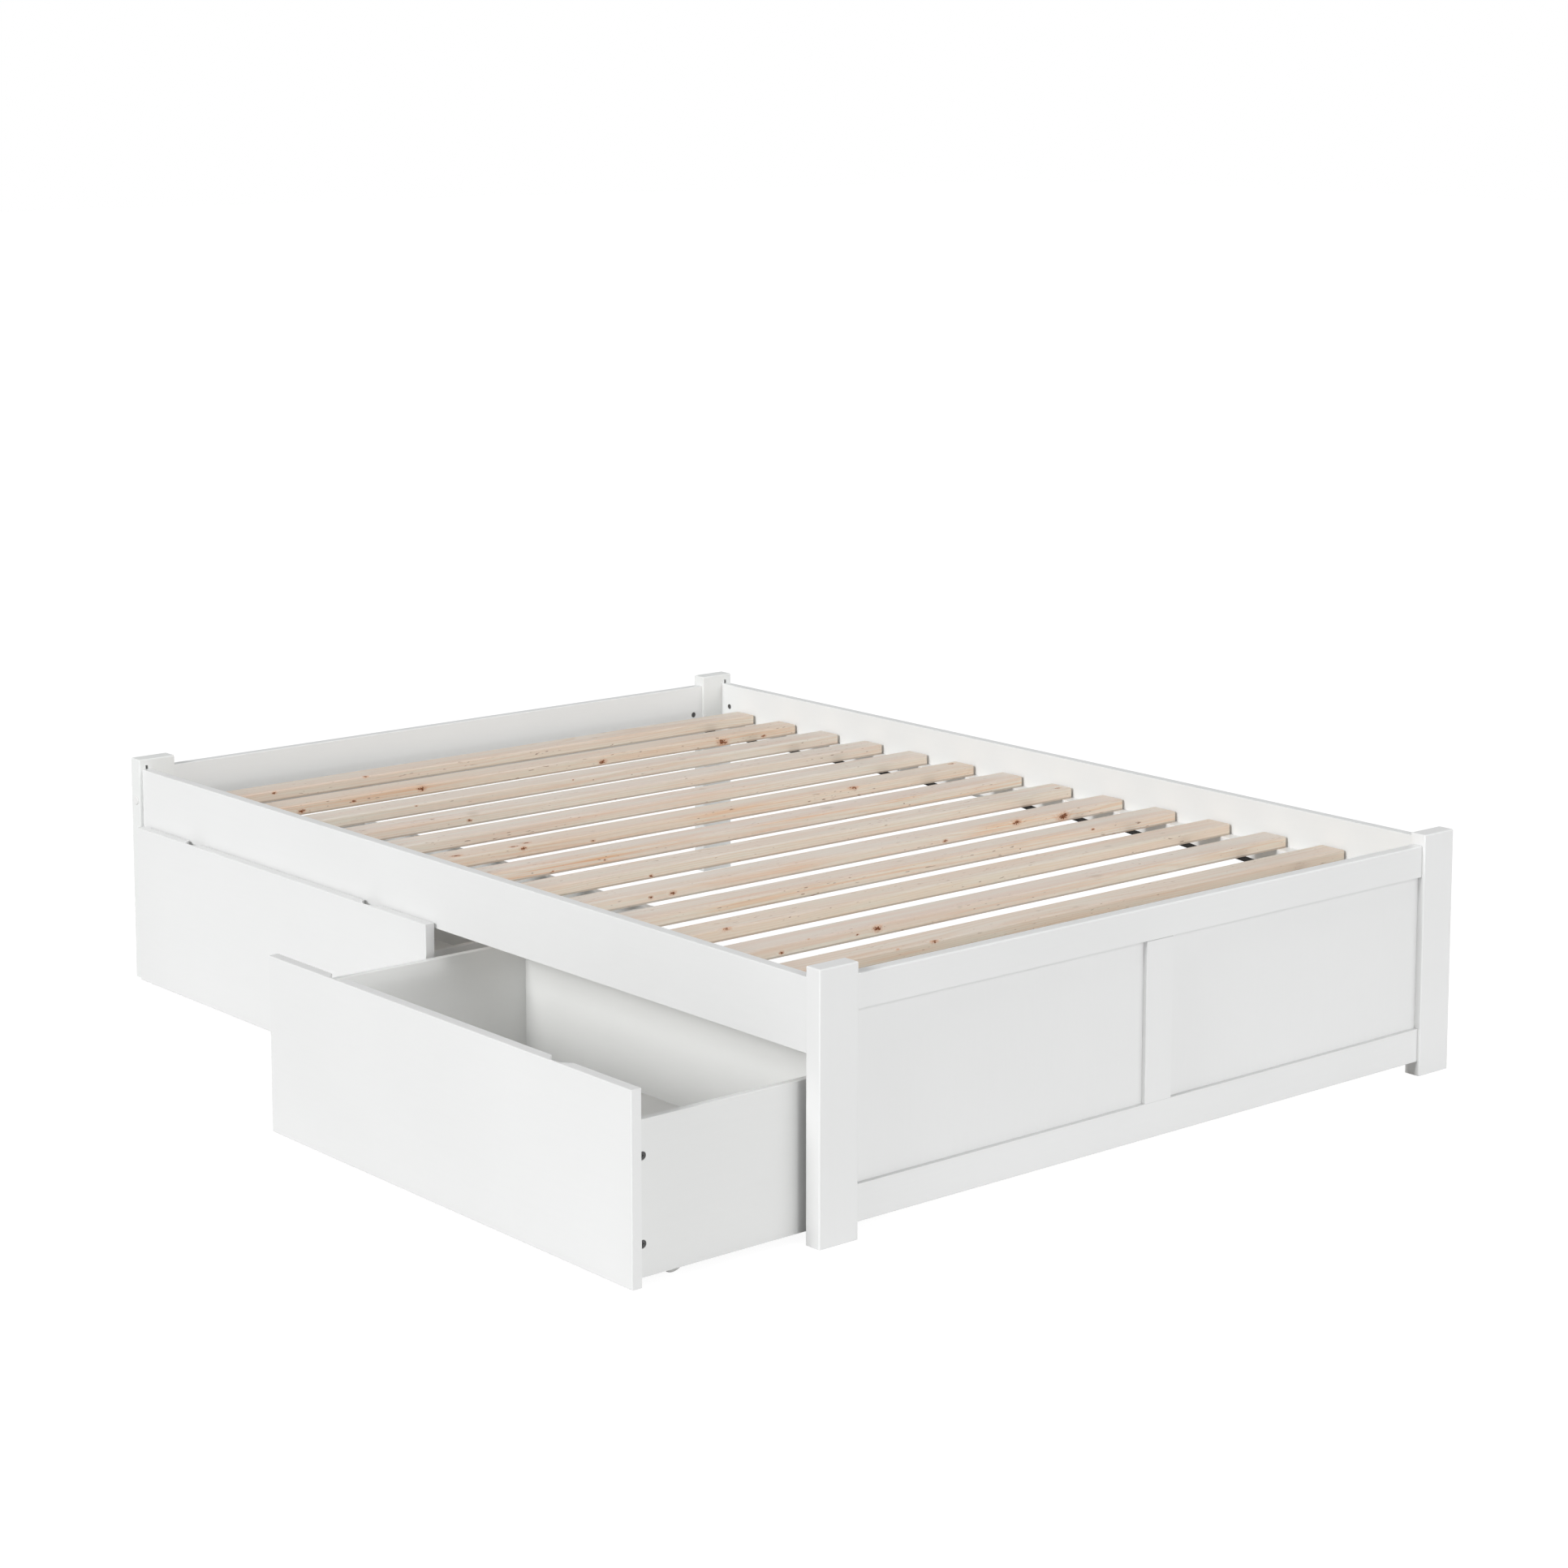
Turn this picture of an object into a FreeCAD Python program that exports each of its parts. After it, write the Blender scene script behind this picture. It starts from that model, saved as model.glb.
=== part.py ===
import FreeCAD, Part
import os
import Sketcher
from FreeCAD import Vector, Rotation, Placement

# A white full-size platform bed: four posts, a framed footboard, a plain head
# board, two side rails with cleats, fourteen pine slats on webbing, and two
# drawers that roll out from under the left side on small fixed casters.
#
# +Z is up, +Y runs from the foot to the head, +X from the drawer side to the
# far side. Bed coordinates (x from the drawer-side face of the posts, y from
# the foot face of the posts) are shifted so that the origin is the middle of
# the whole footprint, on the floor, with the foot-end drawer open at rest.

os.makedirs("parts", exist_ok=True)
doc = FreeCAD.newDocument("platform_bed")

# ---------------------------------------------------------------- dimensions
sheet = doc.addObject("Spreadsheet::Sheet", "Sheet")
sheet.Label = "Dimensions"
DIMS = [
    # the frame
    ("bed_width", 1441.0), ("bed_length", 2008.0), ("post_height", 426.0),
    ("post_width", 76.2), ("post_depth", 31.75), ("post_round", 2.5),
    ("rail_recess", 6.4), ("rail_thick", 19.0), ("rail_bottom", 290.0),
    ("rail_top", 406.6), ("rail_round", 1.6),
    ("head_face", 1981.0), ("head_thick", 18.5), ("head_bottom", 290.0),
    ("head_top", 406.4),
    # the footboard
    ("foot_recess", 4.9), ("foot_thick", 22.0), ("foot_top_low", 352.0),
    ("foot_top_high", 406.6), ("foot_low_bottom", 25.2), ("foot_low_top", 84.0),
    ("foot_top_round", 3.0), ("stile_width", 59.4), ("panel_face", 13.0),
    ("panel_thick", 6.0), ("groove_deep", 8.0), ("groove_play", 0.5),
    # deck
    ("cleat_width", 29.6), ("cleat_height", 30.0), ("deck_bottom", 334.6),
    ("slat_thick", 20.0), ("slat_width", 55.8), ("slat_pitch", 136.96),
    ("slat_length", 1378.6), ("slat_first", 1861.8), ("slat_round", 3.5),
    ("strap_width", 26.0), ("strap_thick", 1.6), ("strap_near", 135.5),
    ("cleat_screw_head", 8.0), ("cleat_screw_pitch", 370.0),
    # hardware
    ("hook_thick", 3.0), ("hook_reach", 14.0), ("slot_width", 5.0),
    ("slot_deep", 18.0), ("slot_top", 414.0), ("slot_bottom", 306.0),
    ("kerf_width", 3.4), ("kerf_deep", 38.0), ("pin_hole", 11.0),
    ("pin_size", 10.6), ("pin_from_end", 26.0), ("pin_high", 359.6),
    ("pin_low", 320.0),
    ("bolt_high", 346.0), ("bolt_size", 6.0), ("bolt_hole", 7.0),
    ("bolt_head_size", 13.0), ("counterbore_size", 15.0),
    ("counterbore_deep", 9.0), ("cap_size", 17.0), ("cap_proud", 2.2),
    ("nut_hole", 11.5), ("nut_size", 11.0), ("nut_from_post", 22.8),
    ("nut_deep", 15.0),
    # drawers
    ("front_length", 963.5), ("front_thick", 17.5), ("front_bottom", 5.5),
    ("front_top", 300.6), ("front_round", 1.2), ("foot_front_start", 33.0),
    ("head_front_start", 998.5), ("closed_reach", 16.0),
    ("open_reach", 322.0), ("box_inset", 16.0), ("side_thick", 12.0),
    ("side_bottom", 13.2), ("side_top", 247.8), ("box_deep", 502.0),
    ("back_thick", 12.0), ("floor_bottom", 50.0), ("floor_thick", 6.0),
    ("floor_groove", 4.0), ("floor_play", 0.5),
    ("scoop_from_end", 187.0), ("scoop_radius", 30.0), ("scoop_deep", 15.2),
    ("scoop_drop", 26.0),
    ("cam_size", 13.2), ("cam_deep", 9.0), ("cam_back", 14.0),
    ("cam_high", 194.0), ("cam_low", 63.0),
    # casters
    ("wheel_size", 45.0), ("wheel_width", 18.0), ("wheel_crown", 1.5),
    ("wheel_bore", 6.1), ("axle_size", 6.0), ("wheel_back", 101.0),
    ("wheel_in", 26.0), ("wheel_far", 440.0), ("fork_thick", 2.5),
    ("fork_gap", 1.2), ("fork_length", 40.0), ("fork_foot", 13.0),
]
for row, (alias, value) in enumerate(DIMS, start=1):
    sheet.set("A%d" % row, alias)
    sheet.set("B%d" % row, repr(value))
    sheet.setAlias("B%d" % row, alias)
doc.recompute()
V = dict(DIMS)

# shift from bed coordinates to the part's own frame
OX = "(Sheet.bed_width + Sheet.cap_proud - Sheet.open_reach) / 2"
OY = "Sheet.bed_length / 2"


def place(obj, x, y, z):
    """Bind the placement of an object to a point in bed coordinates."""
    obj.setExpression(".Placement.Base.x", "(%s) - %s" % (x, OX))
    obj.setExpression(".Placement.Base.y", "(%s) - %s" % (y, OY))
    obj.setExpression(".Placement.Base.z", z)


def new_body(label):
    body = doc.addObject("PartDesign::Body", label)
    body.Label = label
    return body


def plane_of(body, role):
    for feature in body.Origin.OriginFeatures:
        if feature.Role == role:
            return feature
    raise RuntimeError("no plane " + role)


def sketch_on(body, name, role, offset=None):
    """A sketch on one of the body's own origin planes, moved by offset."""
    sketch = body.newObject("Sketcher::SketchObject", name)
    sketch.AttachmentSupport = [(plane_of(body, role), "")]
    sketch.MapMode = "FlatFace"
    if offset is not None:
        sketch.setExpression(".AttachmentOffset.Base.z", offset)
    return sketch


def bind(sketch, index, name, expression):
    sketch.renameConstraint(index, name)
    sketch.setExpression("Constraints." + name, expression)


def rectangle(sketch, w, d, x=None, y=None):
    """A rectangle w by d from the sketch origin, or from x, y (expressions)."""
    n = sketch.GeometryCount
    px = 10.0 if x is not None else 0.0
    py = 10.0 if y is not None else 0.0
    c = [(px, py), (px + 20, py), (px + 20, py + 15), (px, py + 15)]
    for i in range(4):
        a, b = c[i], c[(i + 1) % 4]
        sketch.addGeometry(Part.LineSegment(Vector(a[0], a[1], 0), Vector(b[0], b[1], 0)), False)
    for i in range(4):
        sketch.addConstraint(Sketcher.Constraint("Coincident", n + i, 2, n + (i + 1) % 4, 1))
    sketch.addConstraint(Sketcher.Constraint("Horizontal", n))
    sketch.addConstraint(Sketcher.Constraint("Horizontal", n + 2))
    sketch.addConstraint(Sketcher.Constraint("Vertical", n + 1))
    sketch.addConstraint(Sketcher.Constraint("Vertical", n + 3))
    k = sketch.addConstraint(Sketcher.Constraint("DistanceX", n, 1, n, 2, 20.0))
    bind(sketch, k, "wide%d" % n, w)
    k = sketch.addConstraint(Sketcher.Constraint("DistanceY", n + 1, 1, n + 1, 2, 15.0))
    bind(sketch, k, "deep%d" % n, d)
    if x is None:
        sketch.addConstraint(Sketcher.Constraint("PointOnObject", n, 1, -2))
    else:
        k = sketch.addConstraint(Sketcher.Constraint("DistanceX", -1, 1, n, 1, 10.0))
        bind(sketch, k, "left%d" % n, x)
    if y is None:
        sketch.addConstraint(Sketcher.Constraint("PointOnObject", n, 1, -1))
    else:
        k = sketch.addConstraint(Sketcher.Constraint("DistanceY", -1, 1, n, 1, 10.0))
        bind(sketch, k, "low%d" % n, y)


def circle(sketch, diameter, x, y):
    n = sketch.GeometryCount
    sketch.addGeometry(Part.Circle(Vector(10, 10, 0), Vector(0, 0, 1), 4.0), False)
    k = sketch.addConstraint(Sketcher.Constraint("Diameter", n, 8.0))
    bind(sketch, k, "size%d" % n, diameter)
    k = sketch.addConstraint(Sketcher.Constraint("DistanceX", -1, 1, n, 3, 10.0))
    bind(sketch, k, "across%d" % n, x)
    k = sketch.addConstraint(Sketcher.Constraint("DistanceY", -1, 1, n, 3, 10.0))
    bind(sketch, k, "up%d" % n, y)


def pad(body, sketch, length):
    feature = body.newObject("PartDesign::Pad", sketch.Name + "_pad")
    feature.Profile = sketch
    feature.setExpression("Length", length)
    sketch.Visibility = False
    body.Tip = feature
    doc.recompute()
    return feature


def pocket(body, sketch, length, reverse=False):
    """Cut a pocket, and make sure that it took something away."""
    before = body.Tip.Shape.Volume
    feature = body.newObject("PartDesign::Pocket", sketch.Name + "_cut")
    feature.Profile = sketch
    feature.setExpression("Length", length)
    feature.Reversed = reverse
    body.Tip = feature
    doc.recompute()
    after = body.Tip.Shape.Volume
    if not after < before - 1.0:
        raise RuntimeError("%s cut nothing in %s" % (sketch.Name, body.Label))
    return feature


def fillet(body, radius, pick):
    """Round the edges of the tip that pick() accepts."""
    base = body.Tip
    names = ["Edge%d" % (i + 1) for i, e in enumerate(base.Shape.Edges) if pick(e)]
    if not names:
        raise RuntimeError("no edges to round in " + body.Label)
    feature = body.newObject("PartDesign::Fillet", body.Name + "_round")
    feature.Base = (base, names)
    feature.setExpression("Radius", radius)
    body.Tip = feature
    doc.recompute()
    return feature


def along(edge, axis):
    """True for a straight edge that runs along the given axis."""
    if edge.Curve.TypeId != "Part::GeomLine":
        return False
    d = edge.tangentAt(edge.FirstParameter)
    return abs(d.dot(axis)) > 0.999


AX, AY, AZ = Vector(1, 0, 0), Vector(0, 1, 0), Vector(0, 0, 1)


def board(label, wide, deep, high):
    """A plain board standing on its own XY plane: wide along X, deep along Y."""
    body = new_body(label)
    base = sketch_on(body, label + "_plan", "XY_Plane")
    rectangle(base, wide, deep)
    pad(body, base, high)
    return body


def cylinder(name, diameter, length, rotation, x, y, z):
    obj = doc.addObject("Part::Cylinder", name)
    obj.setExpression("Radius", "(%s) / 2" % diameter)
    obj.setExpression("Height", length)
    obj.Placement = Placement(Vector(0, 0, 0), rotation)
    place(obj, x, y, z)
    return obj


def box(name, wide, deep, high, x, y, z):
    obj = doc.addObject("Part::Box", name)
    obj.setExpression("Length", wide)
    obj.setExpression("Width", deep)
    obj.setExpression("Height", high)
    place(obj, x, y, z)
    return obj


def group(label, members):
    """Identical pieces kept as separate solids of one node."""
    obj = doc.addObject("Part::MultiFuse", label)
    obj.Shapes = members
    obj.Label = label
    return obj


ALONG_X = Rotation(Vector(0, 1, 0), 90)     # a cylinder's axis from +Z to +X
ALONG_Y = Rotation(Vector(1, 0, 0), -90)    # from +Z to +Y
nodes = []

# --------------------------------------------------------------------- posts
# Each post is a plank with its wide face to the foot or head. It is slotted
# for the side rail's hook plate, and grooved or bored for the end board.
for end in ("foot", "head"):
    for side in ("left", "right"):
        label = "post_%s_%s" % (end, side)
        body = board(label, "Sheet.post_width", "Sheet.post_depth", "Sheet.post_height")
        fillet(body, "Sheet.post_round", lambda e: along(e, AZ) or e.CenterOfMass.z > V["post_height"] - 0.01)
        # hook slot in the face towards the rail, centred on the rail
        middle = "Sheet.rail_recess + Sheet.rail_thick / 2"
        start = middle + " - Sheet.slot_width / 2"
        if side == "right":
            start = "Sheet.post_width - %s - Sheet.rail_thick / 2 - Sheet.slot_width / 2" % "Sheet.rail_recess"
        if end == "foot":
            s = sketch_on(body, label + "_slot", "XZ_Plane", "-Sheet.post_depth")
            rectangle(s, "Sheet.slot_width", "Sheet.slot_top - Sheet.slot_bottom", start, "Sheet.slot_bottom")
            pocket(body, s, "Sheet.slot_deep", True)
        else:
            s = sketch_on(body, label + "_slot", "XZ_Plane")
            rectangle(s, "Sheet.slot_width", "Sheet.slot_top - Sheet.slot_bottom", start, "Sheet.slot_bottom")
            pocket(body, s, "Sheet.slot_deep", False)
        if end == "foot":
            # groove that holds the edge of the footboard's panel
            s = sketch_on(body, label + "_groove", "XZ_Plane", "-Sheet.panel_face")
            x0 = "Sheet.post_width - Sheet.groove_deep" if side == "left" else None
            rectangle(s, "Sheet.groove_deep", "Sheet.foot_top_low - Sheet.foot_low_top + 2 * Sheet.groove_deep",
                      x0, "Sheet.foot_low_top - Sheet.groove_deep")
            pocket(body, s, "Sheet.panel_thick", False)
        else:
            # bolt hole for the head board, with a counterbore on the outside
            across = "Sheet.head_face + Sheet.head_thick / 2 - (Sheet.bed_length - Sheet.post_depth)"
            s = sketch_on(body, label + "_bore", "YZ_Plane")
            circle(s, "Sheet.bolt_hole", across, "Sheet.bolt_high")
            pocket(body, s, "Sheet.post_width", True)
            if side == "left":
                s = sketch_on(body, label + "_counterbore", "YZ_Plane")
                circle(s, "Sheet.counterbore_size", across, "Sheet.bolt_high")
                pocket(body, s, "Sheet.counterbore_deep", True)
            else:
                s = sketch_on(body, label + "_counterbore", "YZ_Plane", "Sheet.post_width")
                circle(s, "Sheet.counterbore_size", across, "Sheet.bolt_high")
                pocket(body, s, "Sheet.counterbore_deep", False)
        place(body, "0" if side == "left" else "Sheet.bed_width - Sheet.post_width",
              "0" if end == "foot" else "Sheet.bed_length - Sheet.post_depth", "0")
        nodes.append(body)

# ---------------------------------------------------------------- head board
body = board("head_board", "Sheet.bed_width - 2 * Sheet.post_width", "Sheet.head_thick", "Sheet.head_top - Sheet.head_bottom")
fillet(body, "Sheet.rail_round", lambda e: along(e, AX))
wide = V["bed_width"] - 2 * V["post_width"]
for i, x in enumerate(("Sheet.nut_from_post", "Sheet.bed_width - 2 * Sheet.post_width - Sheet.nut_from_post")):
    s = sketch_on(body, "head_nut_hole%d" % i, "XZ_Plane")
    circle(s, "Sheet.nut_hole", x, "Sheet.bolt_high - Sheet.head_bottom")
    pocket(body, s, "Sheet.nut_deep", False)
s = sketch_on(body, "head_bolt_hole0", "YZ_Plane")
circle(s, "Sheet.bolt_hole", "Sheet.head_thick / 2", "Sheet.bolt_high - Sheet.head_bottom")
pocket(body, s, "Sheet.nut_from_post + 14", True)
s = sketch_on(body, "head_bolt_hole1", "YZ_Plane", "Sheet.bed_width - 2 * Sheet.post_width")
circle(s, "Sheet.bolt_hole", "Sheet.head_thick / 2", "Sheet.bolt_high - Sheet.head_bottom")
pocket(body, s, "Sheet.nut_from_post + 14", False)
place(body, "Sheet.post_width", "Sheet.head_face", "Sheet.head_bottom")
nodes.append(body)

# ---------------------------------------------------------------- side rails
# A saw kerf in each end takes the hook plate; two cross holes per end, bored
# from the inner face, take the pins that hold the plate.
RAIL_LEN = "(Sheet.bed_length - 2 * Sheet.post_depth)"
for side in ("left", "right"):
    label = "side_rail_" + side
    body = board(label, "Sheet.rail_thick", RAIL_LEN, "Sheet.rail_top - Sheet.rail_bottom")
    fillet(body, "Sheet.rail_round", lambda e: along(e, AY))
    for i, y in enumerate((None, RAIL_LEN + " - Sheet.kerf_deep")):
        s = sketch_on(body, "%s_kerf%d" % (label, i), "XY_Plane", "Sheet.slot_bottom - Sheet.rail_bottom")
        rectangle(s, "Sheet.kerf_width", "Sheet.kerf_deep", "Sheet.rail_thick / 2 - Sheet.kerf_width / 2", y)
        pocket(body, s, "Sheet.rail_top - Sheet.slot_bottom - 6", True)
    # the cross holes stop 4 mm short of the outer face
    s = sketch_on(body, label + "_pins", "YZ_Plane", "Sheet.rail_thick" if side == "left" else None)
    for y in ("Sheet.pin_from_end", RAIL_LEN + " - Sheet.pin_from_end"):
        for z in ("Sheet.pin_high - Sheet.rail_bottom", "Sheet.pin_low - Sheet.rail_bottom"):
            circle(s, "Sheet.pin_hole", y, z)
    pocket(body, s, "Sheet.rail_thick - 4", side == "right")
    place(body, "Sheet.rail_recess" if side == "left" else "Sheet.bed_width - Sheet.rail_recess - Sheet.rail_thick",
          "Sheet.post_depth", "Sheet.rail_bottom")
    nodes.append(body)

# -------------------------------------------------------------------- cleats
for side in ("left", "right"):
    label = "cleat_" + side
    body = board(label, "Sheet.cleat_width", RAIL_LEN + " - 2 * Sheet.kerf_deep - 20", "Sheet.cleat_height")
    fillet(body, "Sheet.rail_round", lambda e: along(e, AY))
    x = ("Sheet.rail_recess + Sheet.rail_thick" if side == "left"
         else "Sheet.bed_width - Sheet.rail_recess - Sheet.rail_thick - Sheet.cleat_width")
    # counterbored screw holes, bored from the face towards the bed's middle
    count = 5
    s = sketch_on(body, label + "_screws", "YZ_Plane", "Sheet.cleat_width" if side == "left" else None)
    for k in range(count):
        circle(s, "Sheet.cleat_screw_head + 0.6",
               "(%s - 2 * Sheet.kerf_deep - 20) / 2 + %d * Sheet.cleat_screw_pitch" % (RAIL_LEN, k - 2),
               "Sheet.cleat_height / 2")
    pocket(body, s, "3.5", side == "right")
    place(body, x, "Sheet.post_depth + Sheet.kerf_deep + 10", "Sheet.deck_bottom - Sheet.cleat_height")
    nodes.append(body)

screws = []
for side in ("left", "right"):
    for k in range(5):
        y = "Sheet.bed_length / 2 + %d * Sheet.cleat_screw_pitch" % (k - 2)
        z = "Sheet.deck_bottom - Sheet.cleat_height / 2"
        if side == "left":
            x = "Sheet.rail_recess + Sheet.rail_thick + Sheet.cleat_width - 3.5"
        else:
            x = "Sheet.bed_width - Sheet.rail_recess - Sheet.rail_thick - Sheet.cleat_width + 0.5"
        head = cylinder("cleat_screw_%s%d" % (side, k), "Sheet.cleat_screw_head", "3", ALONG_X, x, y, z)
        drive = cylinder("cleat_drive_%s%d" % (side, k), "3", "1.6", ALONG_X,
                         x + (" + 1.4" if side == "left" else ""), y, z)
        cut = doc.addObject("Part::Cut", "cleat_screw_head_%s%d" % (side, k))
        cut.Base = head
        cut.Tool = drive
        screws.append(cut)
nodes.append(group("cleat_screws", screws))

# ----------------------------------------------------------------- footboard
# Top rail, bottom rail and centre stile, grooved for two flat panels.
FRAME_X = "(Sheet.bed_width - 2 * Sheet.post_width)"
LIP = "(Sheet.panel_face - Sheet.foot_recess)"
body = board("foot_top_rail", FRAME_X, "Sheet.foot_thick", "Sheet.foot_top_high - Sheet.foot_top_low")
fillet(body, "Sheet.foot_top_round", lambda e: along(e, AX) and e.CenterOfMass.z > 30)
s = sketch_on(body, "foot_top_rail_groove", "XY_Plane")
rectangle(s, FRAME_X, "Sheet.panel_thick", None, LIP)
pocket(body, s, "Sheet.groove_deep", True)
place(body, "Sheet.post_width", "Sheet.foot_recess", "Sheet.foot_top_low")
nodes.append(body)

body = board("foot_bottom_rail", FRAME_X, "Sheet.foot_thick", "Sheet.foot_low_top - Sheet.foot_low_bottom")
fillet(body, "Sheet.rail_round", lambda e: along(e, AX) and e.CenterOfMass.z < 30)
s = sketch_on(body, "foot_bottom_rail_groove", "XY_Plane", "Sheet.foot_low_top - Sheet.foot_low_bottom")
rectangle(s, FRAME_X, "Sheet.panel_thick", None, LIP)
pocket(body, s, "Sheet.groove_deep", False)
place(body, "Sheet.post_width", "Sheet.foot_recess", "Sheet.foot_low_bottom")
nodes.append(body)

body = board("foot_stile", "Sheet.stile_width", "Sheet.foot_thick", "Sheet.foot_top_low - Sheet.foot_low_top")
s = sketch_on(body, "foot_stile_grooves", "XY_Plane")
rectangle(s, "Sheet.groove_deep", "Sheet.panel_thick", None, LIP)
rectangle(s, "Sheet.groove_deep", "Sheet.panel_thick", "Sheet.stile_width - Sheet.groove_deep", LIP)
pocket(body, s, "Sheet.foot_top_low - Sheet.foot_low_top", True)
place(body, "Sheet.bed_width / 2 - Sheet.stile_width / 2", "Sheet.foot_recess", "Sheet.foot_low_top")
nodes.append(body)

PANEL_X = "(%s / 2 - Sheet.stile_width / 2 + 2 * Sheet.groove_deep - 2 * Sheet.groove_play)" % FRAME_X
for side in ("left", "right"):
    body = board("foot_panel_" + side, PANEL_X, "Sheet.panel_thick",
                 "Sheet.foot_top_low - Sheet.foot_low_top + 2 * Sheet.groove_deep - 2 * Sheet.groove_play")
    x = ("Sheet.post_width - Sheet.groove_deep + Sheet.groove_play" if side == "left"
         else "Sheet.bed_width / 2 + Sheet.stile_width / 2 - Sheet.groove_deep + Sheet.groove_play")
    place(body, x, "Sheet.panel_face", "Sheet.foot_low_top - Sheet.groove_deep + Sheet.groove_play")
    nodes.append(body)

# --------------------------------------------------------------------- slats
# Fourteen planed slats, rounded along their upper edges, counted from the head.
SLATS = 14
for k in range(SLATS):
    label = "slat_%02d" % (k + 1)
    body = board(label, "Sheet.slat_length", "Sheet.slat_width", "Sheet.slat_thick")
    fillet(body, "Sheet.slat_round", lambda e: along(e, AX) and e.CenterOfMass.z > 10)
    place(body, "(Sheet.bed_width - Sheet.slat_length) / 2",
          "Sheet.slat_first - %d * Sheet.slat_pitch" % k, "Sheet.deck_bottom")
    nodes.append(body)

# Webbing straps stapled under the slats: two rolls of seven slats each.
straps = []
for roll, last in ((0, 6), (1, 13)):
    for side in ("left", "right"):
        x = ("Sheet.strap_near" if side == "left"
             else "Sheet.bed_width - Sheet.strap_near - Sheet.strap_width")
        straps.append(box("strap_%s%d" % (side, roll), "Sheet.strap_width",
                          "6 * Sheet.slat_pitch + Sheet.slat_width - 8", "Sheet.strap_thick",
                          x, "Sheet.slat_first - %d * Sheet.slat_pitch + 4" % last,
                          "Sheet.deck_bottom - Sheet.strap_thick"))
nodes.append(group("slat_straps", straps))

# ---------------------------------------------------------- rail hook plates
# One steel plate per rail end, in the rail's mid-plane: a body in the kerf and
# two hooks that drop into the post's slot.
plates = []
for side in ("left", "right"):
    for end in ("foot", "head"):
        name = "hook_%s_%s" % (end, side)
        body = doc.addObject("PartDesign::Body", name)
        s = sketch_on(body, name + "_outline", "YZ_Plane")
        # outline in the Y-Z plane, with the rail's end at y = 0 and the hooks
        # at negative y for the foot, positive y for the head
        d = -1.0 if end == "foot" else 1.0
        pts = [(-35, 2), (-35, 92), (0, 92), (14, 92), (14, 66), (9, 66), (9, 76), (0, 76),
               (0, 34), (14, 34), (14, 8), (9, 8), (9, 18), (0, 18), (0, 2)]
        pts = [(d * a, b) for a, b in pts]
        for i in range(len(pts)):
            a, b = pts[i], pts[(i + 1) % len(pts)]
            s.addGeometry(Part.LineSegment(Vector(a[0], a[1], 0), Vector(b[0], b[1], 0)), False)
        for i in range(len(pts)):
            s.addConstraint(Sketcher.Constraint("Coincident", i, 2, (i + 1) % len(pts), 1))
            s.addConstraint(Sketcher.Constraint("Block", i))
        pad(body, s, "Sheet.hook_thick")
        # clearance holes for the two cross pins
        h = sketch_on(body, name + "_holes", "YZ_Plane")
        for z in ("Sheet.pin_high", "Sheet.pin_low"):
            n = h.GeometryCount
            h.addGeometry(Part.Circle(Vector(-d * V["pin_from_end"], V[z.split(".")[1]] - V["slot_bottom"], 0),
                                      Vector(0, 0, 1), V["pin_hole"] / 2 + 0.2), False)
            h.addConstraint(Sketcher.Constraint("Block", n))
        pocket(body, h, "Sheet.hook_thick", True)
        x = ("Sheet.rail_recess + Sheet.rail_thick / 2 - Sheet.hook_thick / 2" if side == "left"
             else "Sheet.bed_width - Sheet.rail_recess - Sheet.rail_thick / 2 - Sheet.hook_thick / 2")
        y = "Sheet.post_depth" if end == "foot" else "Sheet.bed_length - Sheet.post_depth"
        place(body, x, y, "Sheet.slot_bottom")
        plates.append(body)
nodes.append(group("rail_hook_plates", plates))

pins = []
for side in ("left", "right"):
    for end in ("foot", "head"):
        for level in ("pin_low", "pin_high"):
            if side == "left":
                x = "Sheet.rail_recess + 4.5"
            else:
                x = "Sheet.bed_width - Sheet.rail_recess - Sheet.rail_thick + 1.5"
            y = ("Sheet.post_depth + Sheet.pin_from_end" if end == "foot"
                 else "Sheet.bed_length - Sheet.post_depth - Sheet.pin_from_end")
            pins.append(cylinder("pin_%s_%s_%s" % (side, end, level), "Sheet.pin_size",
                                 "Sheet.rail_thick - 6", ALONG_X, x, y, "Sheet." + level))
nodes.append(group("rail_cross_pins", pins))

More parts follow.
